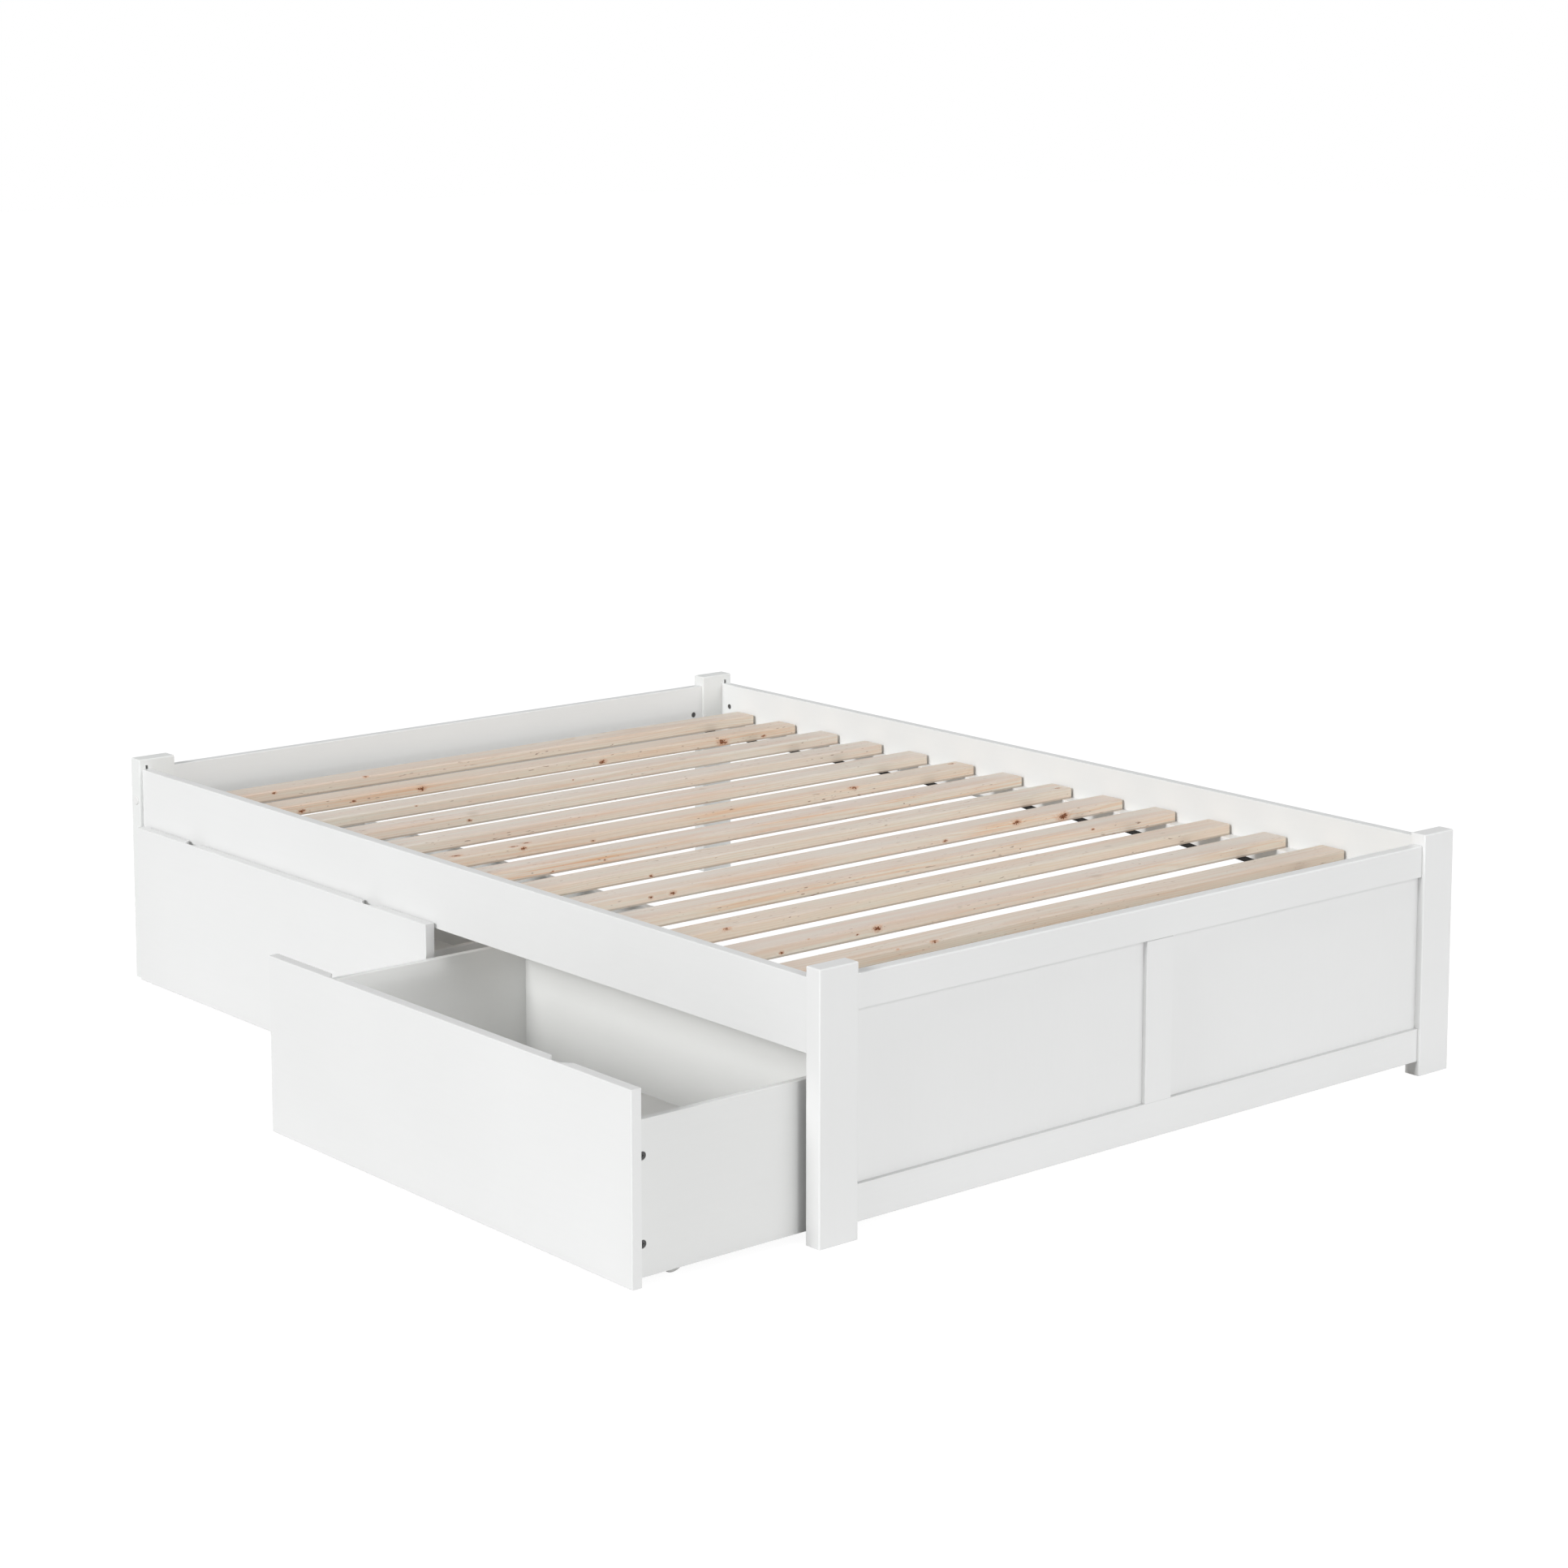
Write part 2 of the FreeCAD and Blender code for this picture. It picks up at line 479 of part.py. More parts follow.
# -------------------------------------------- head board bolts, nuts and caps
HEAD_MID = "Sheet.head_face + Sheet.head_thick / 2"
bolts, nuts, caps = [], [], []
for side in ("left", "right"):
    left = side == "left"
    shank = cylinder("bolt_shank_" + side, "Sheet.bolt_size", "Sheet.post_width + Sheet.nut_from_post",
                     ALONG_X,
                     "Sheet.counterbore_deep - 1" if left else
                     "Sheet.bed_width - Sheet.counterbore_deep + 1 - Sheet.post_width - Sheet.nut_from_post",
                     HEAD_MID, "Sheet.bolt_high")
    head = cylinder("bolt_head_" + side, "Sheet.bolt_head_size", "4", ALONG_X,
                    "Sheet.counterbore_deep - 4" if left else
                    "Sheet.bed_width - Sheet.counterbore_deep",
                    HEAD_MID, "Sheet.bolt_high")
    bolt = doc.addObject("Part::Fuse", "head_bolt_" + side)
    bolt.Base = shank
    bolt.Tool = head
    bolts.append(bolt)
    # the barrel nut lies across the bolt, with a clearance hole for it
    barrel = cylinder("barrel_" + side, "Sheet.nut_size", "13", ALONG_Y,
                      "Sheet.post_width + Sheet.nut_from_post" if left else
                      "Sheet.bed_width - Sheet.post_width - Sheet.nut_from_post",
                      "Sheet.head_face + 1.6", "Sheet.bolt_high")
    hole = cylinder("barrel_hole_" + side, "Sheet.bolt_size + 0.4", "20", ALONG_X,
                    "Sheet.post_width + Sheet.nut_from_post - 10" if left else
                    "Sheet.bed_width - Sheet.post_width - Sheet.nut_from_post - 10",
                    HEAD_MID, "Sheet.bolt_high")
    nut = doc.addObject("Part::Cut", "barrel_bored_" + side)
    nut.Base = barrel
    nut.Tool = hole
    slot = box("barrel_slot_" + side, "1.4", "1.2", "9",
               "Sheet.post_width + Sheet.nut_from_post - 0.7" if left else
               "Sheet.bed_width - Sheet.post_width - Sheet.nut_from_post - 0.7",
               "Sheet.head_face + 1.6", "Sheet.bolt_high - 4.5")
    nut2 = doc.addObject("Part::Cut", "barrel_nut_" + side)
    nut2.Base = nut
    nut2.Tool = slot
    nuts.append(nut2)
    # a low dome over a short plug that presses into the counterbore
    plug = cylinder("cap_plug_" + side, "Sheet.counterbore_size - 0.3", "3.4", ALONG_X,
                    "0" if left else "Sheet.bed_width - 3.4", HEAD_MID, "Sheet.bolt_high")
    dome = doc.addObject("Part::Cylinder", "cap_dome_" + side)
    dome.setExpression("Radius", "Sheet.cap_size / 2")
    dome.setExpression("Height", "Sheet.cap_proud")
    dome.Placement = Placement(Vector(0, 0, 0), ALONG_X)
    place(dome, "-Sheet.cap_proud" if left else "Sheet.bed_width", HEAD_MID, "Sheet.bolt_high")
    doc.recompute()
    soft = doc.addObject("Part::Fillet", "cap_soft_" + side)
    soft.Base = dome
    outer = -V["cap_proud"] if left else V["bed_width"] + V["cap_proud"]
    outer -= (V["bed_width"] + V["cap_proud"] - V["open_reach"]) / 2
    soft.Edges = [(i + 1, 1.8, 1.8) for i, e in enumerate(dome.Shape.Edges)
                  if e.Curve.TypeId == "Part::GeomCircle" and abs(e.CenterOfMass.x - outer) < 0.01]
    cap = doc.addObject("Part::Fuse", "bolt_cap_" + side)
    cap.Base = soft
    cap.Tool = plug
    caps.append(cap)
nodes.append(group("head_bolts", bolts))
nodes.append(group("head_barrel_nuts", nuts))
nodes.append(group("bolt_caps", caps))

# ------------------------------------------------------------------- drawers
# Both drawers are alike. The front overlays the rail's lower edge; the box
# behind it is narrower, and its floor sits high enough to clear the casters.
BOX_LEN = "(Sheet.front_length - 2 * Sheet.box_inset)"
SIDE_LEN = "(Sheet.box_deep - Sheet.front_thick)"
CAM_X = "Sheet.cam_back"
for end, reach, start in (("foot", "Sheet.open_reach", "Sheet.foot_front_start"),
                          ("head", "Sheet.closed_reach", "Sheet.head_front_start")):
    tag = end + "_drawer_"
    face = "-" + reach                      # the front's outer face
    back = face + " + Sheet.front_thick"    # where the box begins

    # front, with two finger scoops in the back of its top edge
    body = board(tag + "front", "Sheet.front_thick", "Sheet.front_length", "Sheet.front_top - Sheet.front_bottom")
    fillet(body, "Sheet.front_round", lambda e: e.CenterOfMass.x < 0.01)
    for i, y in enumerate(("Sheet.scoop_from_end", "Sheet.front_length - Sheet.scoop_from_end")):
        s = sketch_on(body, "%sscoop%d" % (tag, i), "XY_Plane", "Sheet.front_top - Sheet.front_bottom")
        circle(s, "2 * Sheet.scoop_radius", "Sheet.front_thick - Sheet.scoop_deep + Sheet.scoop_radius", y)
        pocket(body, s, "Sheet.scoop_drop", False)
    s = sketch_on(body, tag + "front_groove", "YZ_Plane", "Sheet.front_thick")
    rectangle(s, BOX_LEN + " - 2 * Sheet.side_thick", "Sheet.floor_thick",
              "Sheet.box_inset + Sheet.side_thick", "Sheet.floor_bottom - Sheet.front_bottom")
    pocket(body, s, "Sheet.floor_groove", False)
    place(body, face, start, "Sheet.front_bottom")
    nodes.append(body)

    # sides, grooved for the floor and bored for the corner fittings
    for which in ("near", "far"):
        near = which == "near"
        body = board(tag + "side_" + which, SIDE_LEN, "Sheet.side_thick", "Sheet.side_top - Sheet.side_bottom")
        fillet(body, "Sheet.front_round", lambda e: along(e, AX) and e.CenterOfMass.z > 100)
        # groove on the face towards the inside of the box
        s = sketch_on(body, tag + "groove_" + which, "XZ_Plane", "-Sheet.side_thick" if near else None)
        rectangle(s, SIDE_LEN, "Sheet.floor_thick", None, "Sheet.floor_bottom - Sheet.side_bottom")
        pocket(body, s, "Sheet.floor_groove", near)
        # fitting holes in the outer face
        s = sketch_on(body, tag + "cams_" + which, "XZ_Plane", None if near else "-Sheet.side_thick")
        for z in ("Sheet.cam_low - Sheet.side_bottom", "Sheet.cam_high - Sheet.side_bottom"):
            circle(s, "Sheet.cam_size", CAM_X, z)
        pocket(body, s, "Sheet.cam_deep", not near)
        y = (start + " + Sheet.box_inset" if near
             else start + " + Sheet.front_length - Sheet.box_inset - Sheet.side_thick")
        place(body, back, y, "Sheet.side_bottom")
        nodes.append(body)

    # back, between the sides
    body = board(tag + "back", "Sheet.back_thick", BOX_LEN + " - 2 * Sheet.side_thick", "Sheet.side_top - Sheet.side_bottom")
    fillet(body, "Sheet.front_round", lambda e: along(e, AY) and e.CenterOfMass.z > 100)
    s = sketch_on(body, tag + "back_groove", "YZ_Plane")
    rectangle(s, BOX_LEN + " - 2 * Sheet.side_thick", "Sheet.floor_thick", None, "Sheet.floor_bottom - Sheet.side_bottom")
    pocket(body, s, "Sheet.floor_groove", True)
    place(body, face + " + Sheet.box_deep - Sheet.back_thick",
          start + " + Sheet.box_inset + Sheet.side_thick", "Sheet.side_bottom")
    nodes.append(body)

    # floor panel, held in the grooves all round, notched to pass the side
    # grooves' full depth at its four corners
    panel = box(tag + "panel", SIDE_LEN + " - Sheet.back_thick + 2 * Sheet.floor_groove - 2 * Sheet.floor_play",
                BOX_LEN + " - 2 * Sheet.side_thick + 2 * Sheet.floor_groove - 2 * Sheet.floor_play",
                "Sheet.floor_thick", back + " - Sheet.floor_groove + Sheet.floor_play",
                start + " + Sheet.box_inset + Sheet.side_thick - Sheet.floor_groove + Sheet.floor_play",
                "Sheet.floor_bottom")
    notches = []
    for i in range(4):
        nx = (back + " - Sheet.floor_groove" if i % 2 == 0
              else face + " + Sheet.box_deep - Sheet.back_thick")
        ny = (start + " + Sheet.box_inset + Sheet.side_thick - Sheet.floor_groove" if i < 2
              else start + " + Sheet.front_length - Sheet.box_inset - Sheet.side_thick")
        notches.append(box("%snotch%d" % (tag, i), "Sheet.floor_groove", "Sheet.floor_groove",
                           "Sheet.floor_thick", nx, ny, "Sheet.floor_bottom"))
    tool = doc.addObject("Part::MultiFuse", tag + "notches")
    tool.Shapes = notches
    floor = doc.addObject("Part::Cut", tag + "floor")
    floor.Base = panel
    floor.Tool = tool
    floor.Label = tag + "floor"
    nodes.append(floor)

    # round corner fittings, a millimetre below the side's surface, each with
    # a cross recess
    cams = []
    for which in ("near", "far"):
        for level in ("cam_low", "cam_high"):
            name = "%s%s_%s" % (tag, which, level)
            y = (start + " + Sheet.box_inset + 1.2" if which == "near"
                 else start + " + Sheet.front_length - Sheet.box_inset - Sheet.cam_deep")
            disc = cylinder(name + "_disc", "Sheet.cam_size - 0.4", "Sheet.cam_deep - 1.2", ALONG_Y,
                            back + " + " + CAM_X, y, "Sheet." + level)
            yc = (y if which == "near" else y + " + Sheet.cam_deep - 1.2 - 1.6")
            cut1 = box(name + "_cross1", "7", "1.6", "1.4", back + " + " + CAM_X + " - 3.5", yc,
                       "Sheet." + level + " - 0.7")
            cut2 = box(name + "_cross2", "1.4", "1.6", "7", back + " + " + CAM_X + " - 0.7", yc,
                       "Sheet." + level + " - 3.5")
            cross = doc.addObject("Part::Fuse", name + "_cross")
            cross.Base = cut1
            cross.Tool = cut2
            cam = doc.addObject("Part::Cut", name)
            cam.Base = disc
            cam.Tool = cross
            cams.append(cam)
    nodes.append(group(tag + "fittings", cams))

    # casters: an inverted steel U screwed under the floor, an axle through
    # both cheeks and a wheel on it
    forks, axles = [], []
    for j, wx in enumerate((face + " + Sheet.wheel_back", face + " + Sheet.wheel_far")):
        for which in ("near", "far"):
            name = "%scaster_%s_%s" % (tag, "front" if j == 0 else "back", which)
            wy = (start + " + Sheet.box_inset + Sheet.wheel_in" if which == "near"
                  else start + " + Sheet.front_length - Sheet.box_inset - Sheet.wheel_in")
            half = "(Sheet.wheel_width / 2 + Sheet.fork_gap)"
            axle_z = "Sheet.wheel_size / 2"
            top = box(name + "_top", "Sheet.fork_length", "2 * %s + 2 * Sheet.fork_thick" % half,
                      "Sheet.fork_thick", wx + " - Sheet.fork_length / 2",
                      wy + " - %s - Sheet.fork_thick" % half, "Sheet.floor_bottom - Sheet.fork_thick")
            cheeks = []
            for m, cy in enumerate((wy + " - %s - Sheet.fork_thick" % half, wy + " + " + half)):
                flat = box("%s_cheek%d" % (name, m), "Sheet.fork_length", "Sheet.fork_thick",
                           "Sheet.floor_bottom - Sheet.fork_thick - " + axle_z,
                           wx + " - Sheet.fork_length / 2", cy, axle_z)
                lobe = cylinder("%s_lobe%d" % (name, m), "2 * (%s - Sheet.fork_foot)" % axle_z,
                                "Sheet.fork_thick", ALONG_Y, wx, cy, axle_z)
                cheeks += [flat, lobe]
            solid = doc.addObject("Part::MultiFuse", name + "_solid")
            solid.Shapes = [top] + cheeks
            bore = cylinder(name + "_bore", "Sheet.axle_size", "2 * %s + 2 * Sheet.fork_thick + 2" % half,
                            ALONG_Y, wx, wy + " - %s - Sheet.fork_thick - 1" % half, axle_z)
            fork = doc.addObject("Part::Cut", name + "_fork")
            fork.Base = solid
            fork.Tool = bore
            forks.append(fork)
            axles.append(cylinder(name + "_axle", "Sheet.axle_size",
                                  "2 * %s + 2 * Sheet.fork_thick + 1.6" % half, ALONG_Y,
                                  wx, wy + " - %s - Sheet.fork_thick - 0.8" % half, axle_z))

            # wheel: a revolved section with a crowned tread and a bored hub
            wheel = new_body("%swheel_%s_%s" % (tag, "front" if j == 0 else "back", which))
            s = sketch_on(wheel, wheel.Name + "_section", "XY_Plane")
            hw, ro = V["wheel_width"] / 2, V["wheel_size"] / 2
            ri, cr = V["wheel_bore"] / 2, V["wheel_crown"]
            pts = [(ri, -hw), (8.5, -hw), (8.5, -hw + 4), (ro - 5.5, -hw + 4), (ro - 5.5, -hw + 0.6),
                   (ro - cr, -hw + 0.6), (ro, -hw + 3), (ro, hw - 3), (ro - cr, hw - 0.6),
                   (ro - 5.5, hw - 0.6), (ro - 5.5, hw - 4), (8.5, hw - 4), (8.5, hw), (ri, hw)]
            for i in range(len(pts)):
                a, b = pts[i], pts[(i + 1) % len(pts)]
                s.addGeometry(Part.LineSegment(Vector(a[0], a[1], 0), Vector(b[0], b[1], 0)), False)
            for i in range(len(pts)):
                s.addConstraint(Sketcher.Constraint("Coincident", i, 2, (i + 1) % len(pts), 1))
                s.addConstraint(Sketcher.Constraint("Block", i))
            rev = wheel.newObject("PartDesign::Revolution", wheel.Name + "_turned")
            rev.Profile = s
            rev.ReferenceAxis = (s, ["V_Axis"])
            rev.Angle = 360.0
            wheel.Tip = rev
            place(wheel, wx, wy, axle_z)
            nodes.append(wheel)
    nodes.append(group(tag + "caster_forks", forks))
    nodes.append(group(tag + "caster_axles", axles))

doc.recompute()

# -------------------------------------------------------------------- checks
for obj in doc.Objects:
    if "Invalid" in obj.State or "Error" in obj.State:
        raise RuntimeError("%s is %s" % (obj.Label, obj.State))
labels = [n.Label for n in nodes]
if len(set(labels)) != len(labels) or len(labels) > 60:
    raise RuntimeError("labels: %d" % len(labels))
for node in nodes:
    shape = node.Shape
    if shape.isNull() or not shape.isValid() or not shape.Solids:
        raise RuntimeError("bad shape: " + node.Label)

total = FreeCAD.BoundBox()
for node in nodes:
    node.Shape.exportStep("parts/%s.step" % node.Label)
    total.add(node.Shape.BoundBox)
    b = node.Shape.BoundBox
    print("%-34s solids %2d  vol %10.1f  x %8.1f %8.1f  y %8.1f %8.1f  z %7.1f %7.1f" % (
        node.Label, len(node.Shape.Solids), node.Shape.Volume, b.XMin, b.XMax, b.YMin, b.YMax, b.ZMin, b.ZMax))
print("nodes", len(nodes), "box", total)
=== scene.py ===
import math
import bpy
from mathutils import Matrix, Vector


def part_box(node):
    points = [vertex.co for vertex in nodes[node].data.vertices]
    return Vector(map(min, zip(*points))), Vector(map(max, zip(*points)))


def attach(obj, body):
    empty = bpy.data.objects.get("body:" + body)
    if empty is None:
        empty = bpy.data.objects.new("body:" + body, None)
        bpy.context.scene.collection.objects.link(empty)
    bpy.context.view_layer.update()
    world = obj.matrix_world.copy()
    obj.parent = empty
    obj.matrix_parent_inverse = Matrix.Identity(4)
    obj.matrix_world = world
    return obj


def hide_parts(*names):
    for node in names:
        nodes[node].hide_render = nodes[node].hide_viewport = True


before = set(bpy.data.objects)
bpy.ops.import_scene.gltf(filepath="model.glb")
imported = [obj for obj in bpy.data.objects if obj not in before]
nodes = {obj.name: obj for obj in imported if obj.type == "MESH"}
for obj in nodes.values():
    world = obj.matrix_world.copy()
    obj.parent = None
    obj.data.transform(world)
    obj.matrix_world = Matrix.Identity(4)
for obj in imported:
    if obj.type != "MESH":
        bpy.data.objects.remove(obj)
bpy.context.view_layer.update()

scene = bpy.context.scene


# ---------------------------------------------------------------- node tools
class Net:
    """A short way to write a node material."""

    def __init__(self, name):
        self.mat = bpy.data.materials.new(name)
        self.mat.use_nodes = True
        self.tree = self.mat.node_tree
        self.tree.nodes.clear()
        self.out = self.tree.nodes.new("ShaderNodeOutputMaterial")
        self.bsdf = self.tree.nodes.new("ShaderNodeBsdfPrincipled")
        self.link(self.bsdf.outputs[0], self.out.inputs["Surface"])
        self._obj = None

    def link(self, a, b):
        self.tree.links.new(a, b)

    def put(self, node, key, value):
        s = node.inputs[key]
        if hasattr(value, "is_linked") or hasattr(value, "links"):
            self.link(value, s)
        else:
            s.default_value = value

    @property
    def obj(self):
        if self._obj is None:
            self._obj = self.tree.nodes.new("ShaderNodeTexCoord").outputs["Object"]
        return self._obj

    def mapped(self, loc=(0, 0, 0), scale=(1, 1, 1), rot=(0, 0, 0), vec=None):
        n = self.tree.nodes.new("ShaderNodeMapping")
        self.link(vec or self.obj, n.inputs["Vector"])
        n.inputs["Location"].default_value = loc
        n.inputs["Rotation"].default_value = rot
        n.inputs["Scale"].default_value = scale
        return n.outputs[0]

    def noise(self, vec, scale, detail=3.0, rough=0.5, dist=0.0, colour=False):
        n = self.tree.nodes.new("ShaderNodeTexNoise")
        self.link(vec, n.inputs["Vector"])
        n.inputs["Scale"].default_value = scale
        n.inputs["Detail"].default_value = detail
        n.inputs["Roughness"].default_value = rough
        n.inputs["Distortion"].default_value = dist
        return n.outputs["Color" if colour else "Fac"]

    def math(self, op, a, b=None, c=None, clamp=False):
        n = self.tree.nodes.new("ShaderNodeMath")
        n.operation = op
        n.use_clamp = clamp
        for i, v in enumerate((a, b, c)):
            if v is not None:
                self.put(n, i, v)
        return n.outputs[0]

    def vmath(self, op, a, b=None):
        n = self.tree.nodes.new("ShaderNodeVectorMath")
        n.operation = op
        for i, v in enumerate((a, b)):
            if v is not None:
                self.put(n, i, v)
        return n.outputs["Value" if op in ("LENGTH", "DOT_PRODUCT", "DISTANCE") else "Vector"]

    def xyz(self, vec):
        n = self.tree.nodes.new("ShaderNodeSeparateXYZ")
        self.link(vec, n.inputs[0])
        return n.outputs

    def join(self, x, y, z):
        n = self.tree.nodes.new("ShaderNodeCombineXYZ")
        for i, v in enumerate((x, y, z)):
            self.put(n, i, v)
        return n.outputs[0]

    def band(self, fac, stops):
        n = self.tree.nodes.new("ShaderNodeValToRGB")
        self.link(fac, n.inputs[0])
        e = n.color_ramp.elements
        while len(e) < len(stops):
            e.new(0.5)
        for el, (p, c) in zip(e, stops):
            el.position = p
            el.color = (*c, 1.0) if len(c) == 3 else c
        return n.outputs[0]

    def span(self, v, a, b, lo=0.0, hi=1.0, kind="LINEAR"):
        n = self.tree.nodes.new("ShaderNodeMapRange")
        n.interpolation_type = kind
        n.clamp = True
        self.put(n, "Value", v)
        n.inputs["From Min"].default_value = a
        n.inputs["From Max"].default_value = b
        n.inputs["To Min"].default_value = lo
        n.inputs["To Max"].default_value = hi
        return n.outputs["Result"]

    def mix(self, fac, a, b, kind="MIX"):
        n = self.tree.nodes.new("ShaderNodeMix")
        n.data_type = "RGBA"
        n.blend_type = kind
        n.clamp_factor = True
        self.put(n, 0, fac)
        for i, v in ((6, a), (7, b)):
            if isinstance(v, tuple):
                n.inputs[i].default_value = (*v, 1.0) if len(v) == 3 else v
            else:
                self.link(v, n.inputs[i])
        return n.outputs[2]

    def bump(self, height, dist, strength=1.0, normal=None):
        n = self.tree.nodes.new("ShaderNodeBump")
        n.inputs["Strength"].default_value = strength
        n.inputs["Distance"].default_value = dist
        self.link(height, n.inputs["Height"])
        if normal is not None:
            self.link(normal, n.inputs["Normal"])
        return n.outputs[0]

    def finish(self, colour, rough, normal=None, metal=0.0, spec=0.5, coat=0.0, coat_rough=0.2, sheen=0.0):
        b = self.bsdf
        self.put(b, "Base Color", colour)
        self.put(b, "Roughness", rough)
        b.inputs["Metallic"].default_value = metal
        b.inputs["Specular IOR Level"].default_value = spec
        b.inputs["Coat Weight"].default_value = coat
        b.inputs["Coat Roughness"].default_value = coat_rough
        b.inputs["Sheen Weight"].default_value = sheen
        if normal is not None:
            self.link(normal, b.inputs["Normal"])
        return self.mat


def stretched(axis, along, across=1.0):
    s = [across, across, across]
    s["xyz".index(axis)] = along
    return tuple(s)


# ---------------------------------------------------------------- materials
def white_paint(name, axis, seed, tone=(1.0, 1.0, 1.0), rough=0.42, recess_shade=None, joints_and_shade=()):
    """Sprayed satin white over wood: a faint unevenness, the wood's grain just showing through along one axis, and fine
    orange peel; where given, painted shade on the footboard's recess walls, and joint hairlines with painted shade
    beside them.
    """
    n = Net(name)
    big = n.noise(n.mapped(loc=(seed, seed * 0.7, -seed)), 2.2, 2.0)
    grain = n.noise(n.mapped(loc=(seed * 3.1, 0, seed), scale=stretched(axis, 0.05)), 230.0, 3.0, 0.6)
    fac = n.math("ADD", n.math("MULTIPLY", big, 0.8), n.math("MULTIPLY", grain, 0.2))
    col = n.band(fac, [(0.30, tuple(t * v for t, v in zip(tone, (0.785, 0.785, 0.783)))),
                       (0.70, tuple(t * v for t, v in zip(tone, (0.815, 0.815, 0.814))))])
    if recess_shade:
        # painted shade: the side walls of the footboard's recesses are darkened, more towards the panel and less near
        # the top rail, and the posts' inner faces beside the rails are darkened a little too
        inner, front, deep, low, high = recess_shade
        p = n.xyz(n.obj)
        off = None
        for x in inner:
            d = n.math("ABSOLUTE", n.math("SUBTRACT", p[0], x))
            off = d if off is None else n.math("MINIMUM", off, d)
        recess_shade_mask = n.math("MULTIPLY", n.span(off, 0.0004, 0.0010, 1.0, 0.0), n.span(p[1], front + 0.0003, front + 0.0015))
        recess_shade_mask = n.math("MULTIPLY", recess_shade_mask, n.span(p[1], front + 0.0015, deep, 0.55, 1.0))
        recess_shade_mask = n.math("MULTIPLY", recess_shade_mask, n.span(p[2], high - 0.100, high - 0.012, 1.0, 0.15))
        recess_shade_mask = n.math("MULTIPLY", recess_shade_mask, n.math("MULTIPLY", n.span(p[2], low - 0.001, low, 0.55, 1.0), n.span(p[2], high, high + 0.001, 1.0, 0.55)))
        col = n.mix(recess_shade_mask, col, n.mix(1.0, col, (0.78, 0.78, 0.775), "MULTIPLY"))
    for (c, where, width, depth) in joints_and_shade:
        # a closed joint, seen as a hairline along the edge of the piece; where it lies in an inner corner or on a
        # ledge, it is painted shade as well
        d = n.math("ABSOLUTE", n.math("SUBTRACT", n.xyz(n.obj)[c], where))
        col = n.mix(n.span(d, 0.6 * width, width, depth, 0.0), col, n.mix(1.0, col, (0.30, 0.30, 0.295), "MULTIPLY"))
    peel = n.noise(n.mapped(loc=(-seed, seed, 0)), 520.0, 2.0)
    r = n.span(n.noise(n.mapped(loc=(0, seed, seed)), 14.0, 3.0), 0.3, 0.7, rough - 0.03, rough + 0.04)
    h = n.math("ADD", n.math("MULTIPLY", grain, 0.6), n.math("MULTIPLY", peel, 0.4))
    return n.finish(col, r, n.bump(h, 0.00012, 0.5), spec=0.45, coat=0.06, coat_rough=0.25)


def faced_board(name, seed):
    """Thin hardboard with a smooth white face."""
    n = Net(name)
    big = n.noise(n.mapped(loc=(seed, 0, 0)), 3.0, 2.0)
    col = n.band(big, [(0.3, (0.74, 0.74, 0.725)), (0.7, (0.77, 0.77, 0.76))])
    fine = n.noise(n.mapped(loc=(0, seed, 0)), 700.0, 2.0)
    return n.finish(col, 0.5, n.bump(fine, 0.0001, 0.35), spec=0.4)


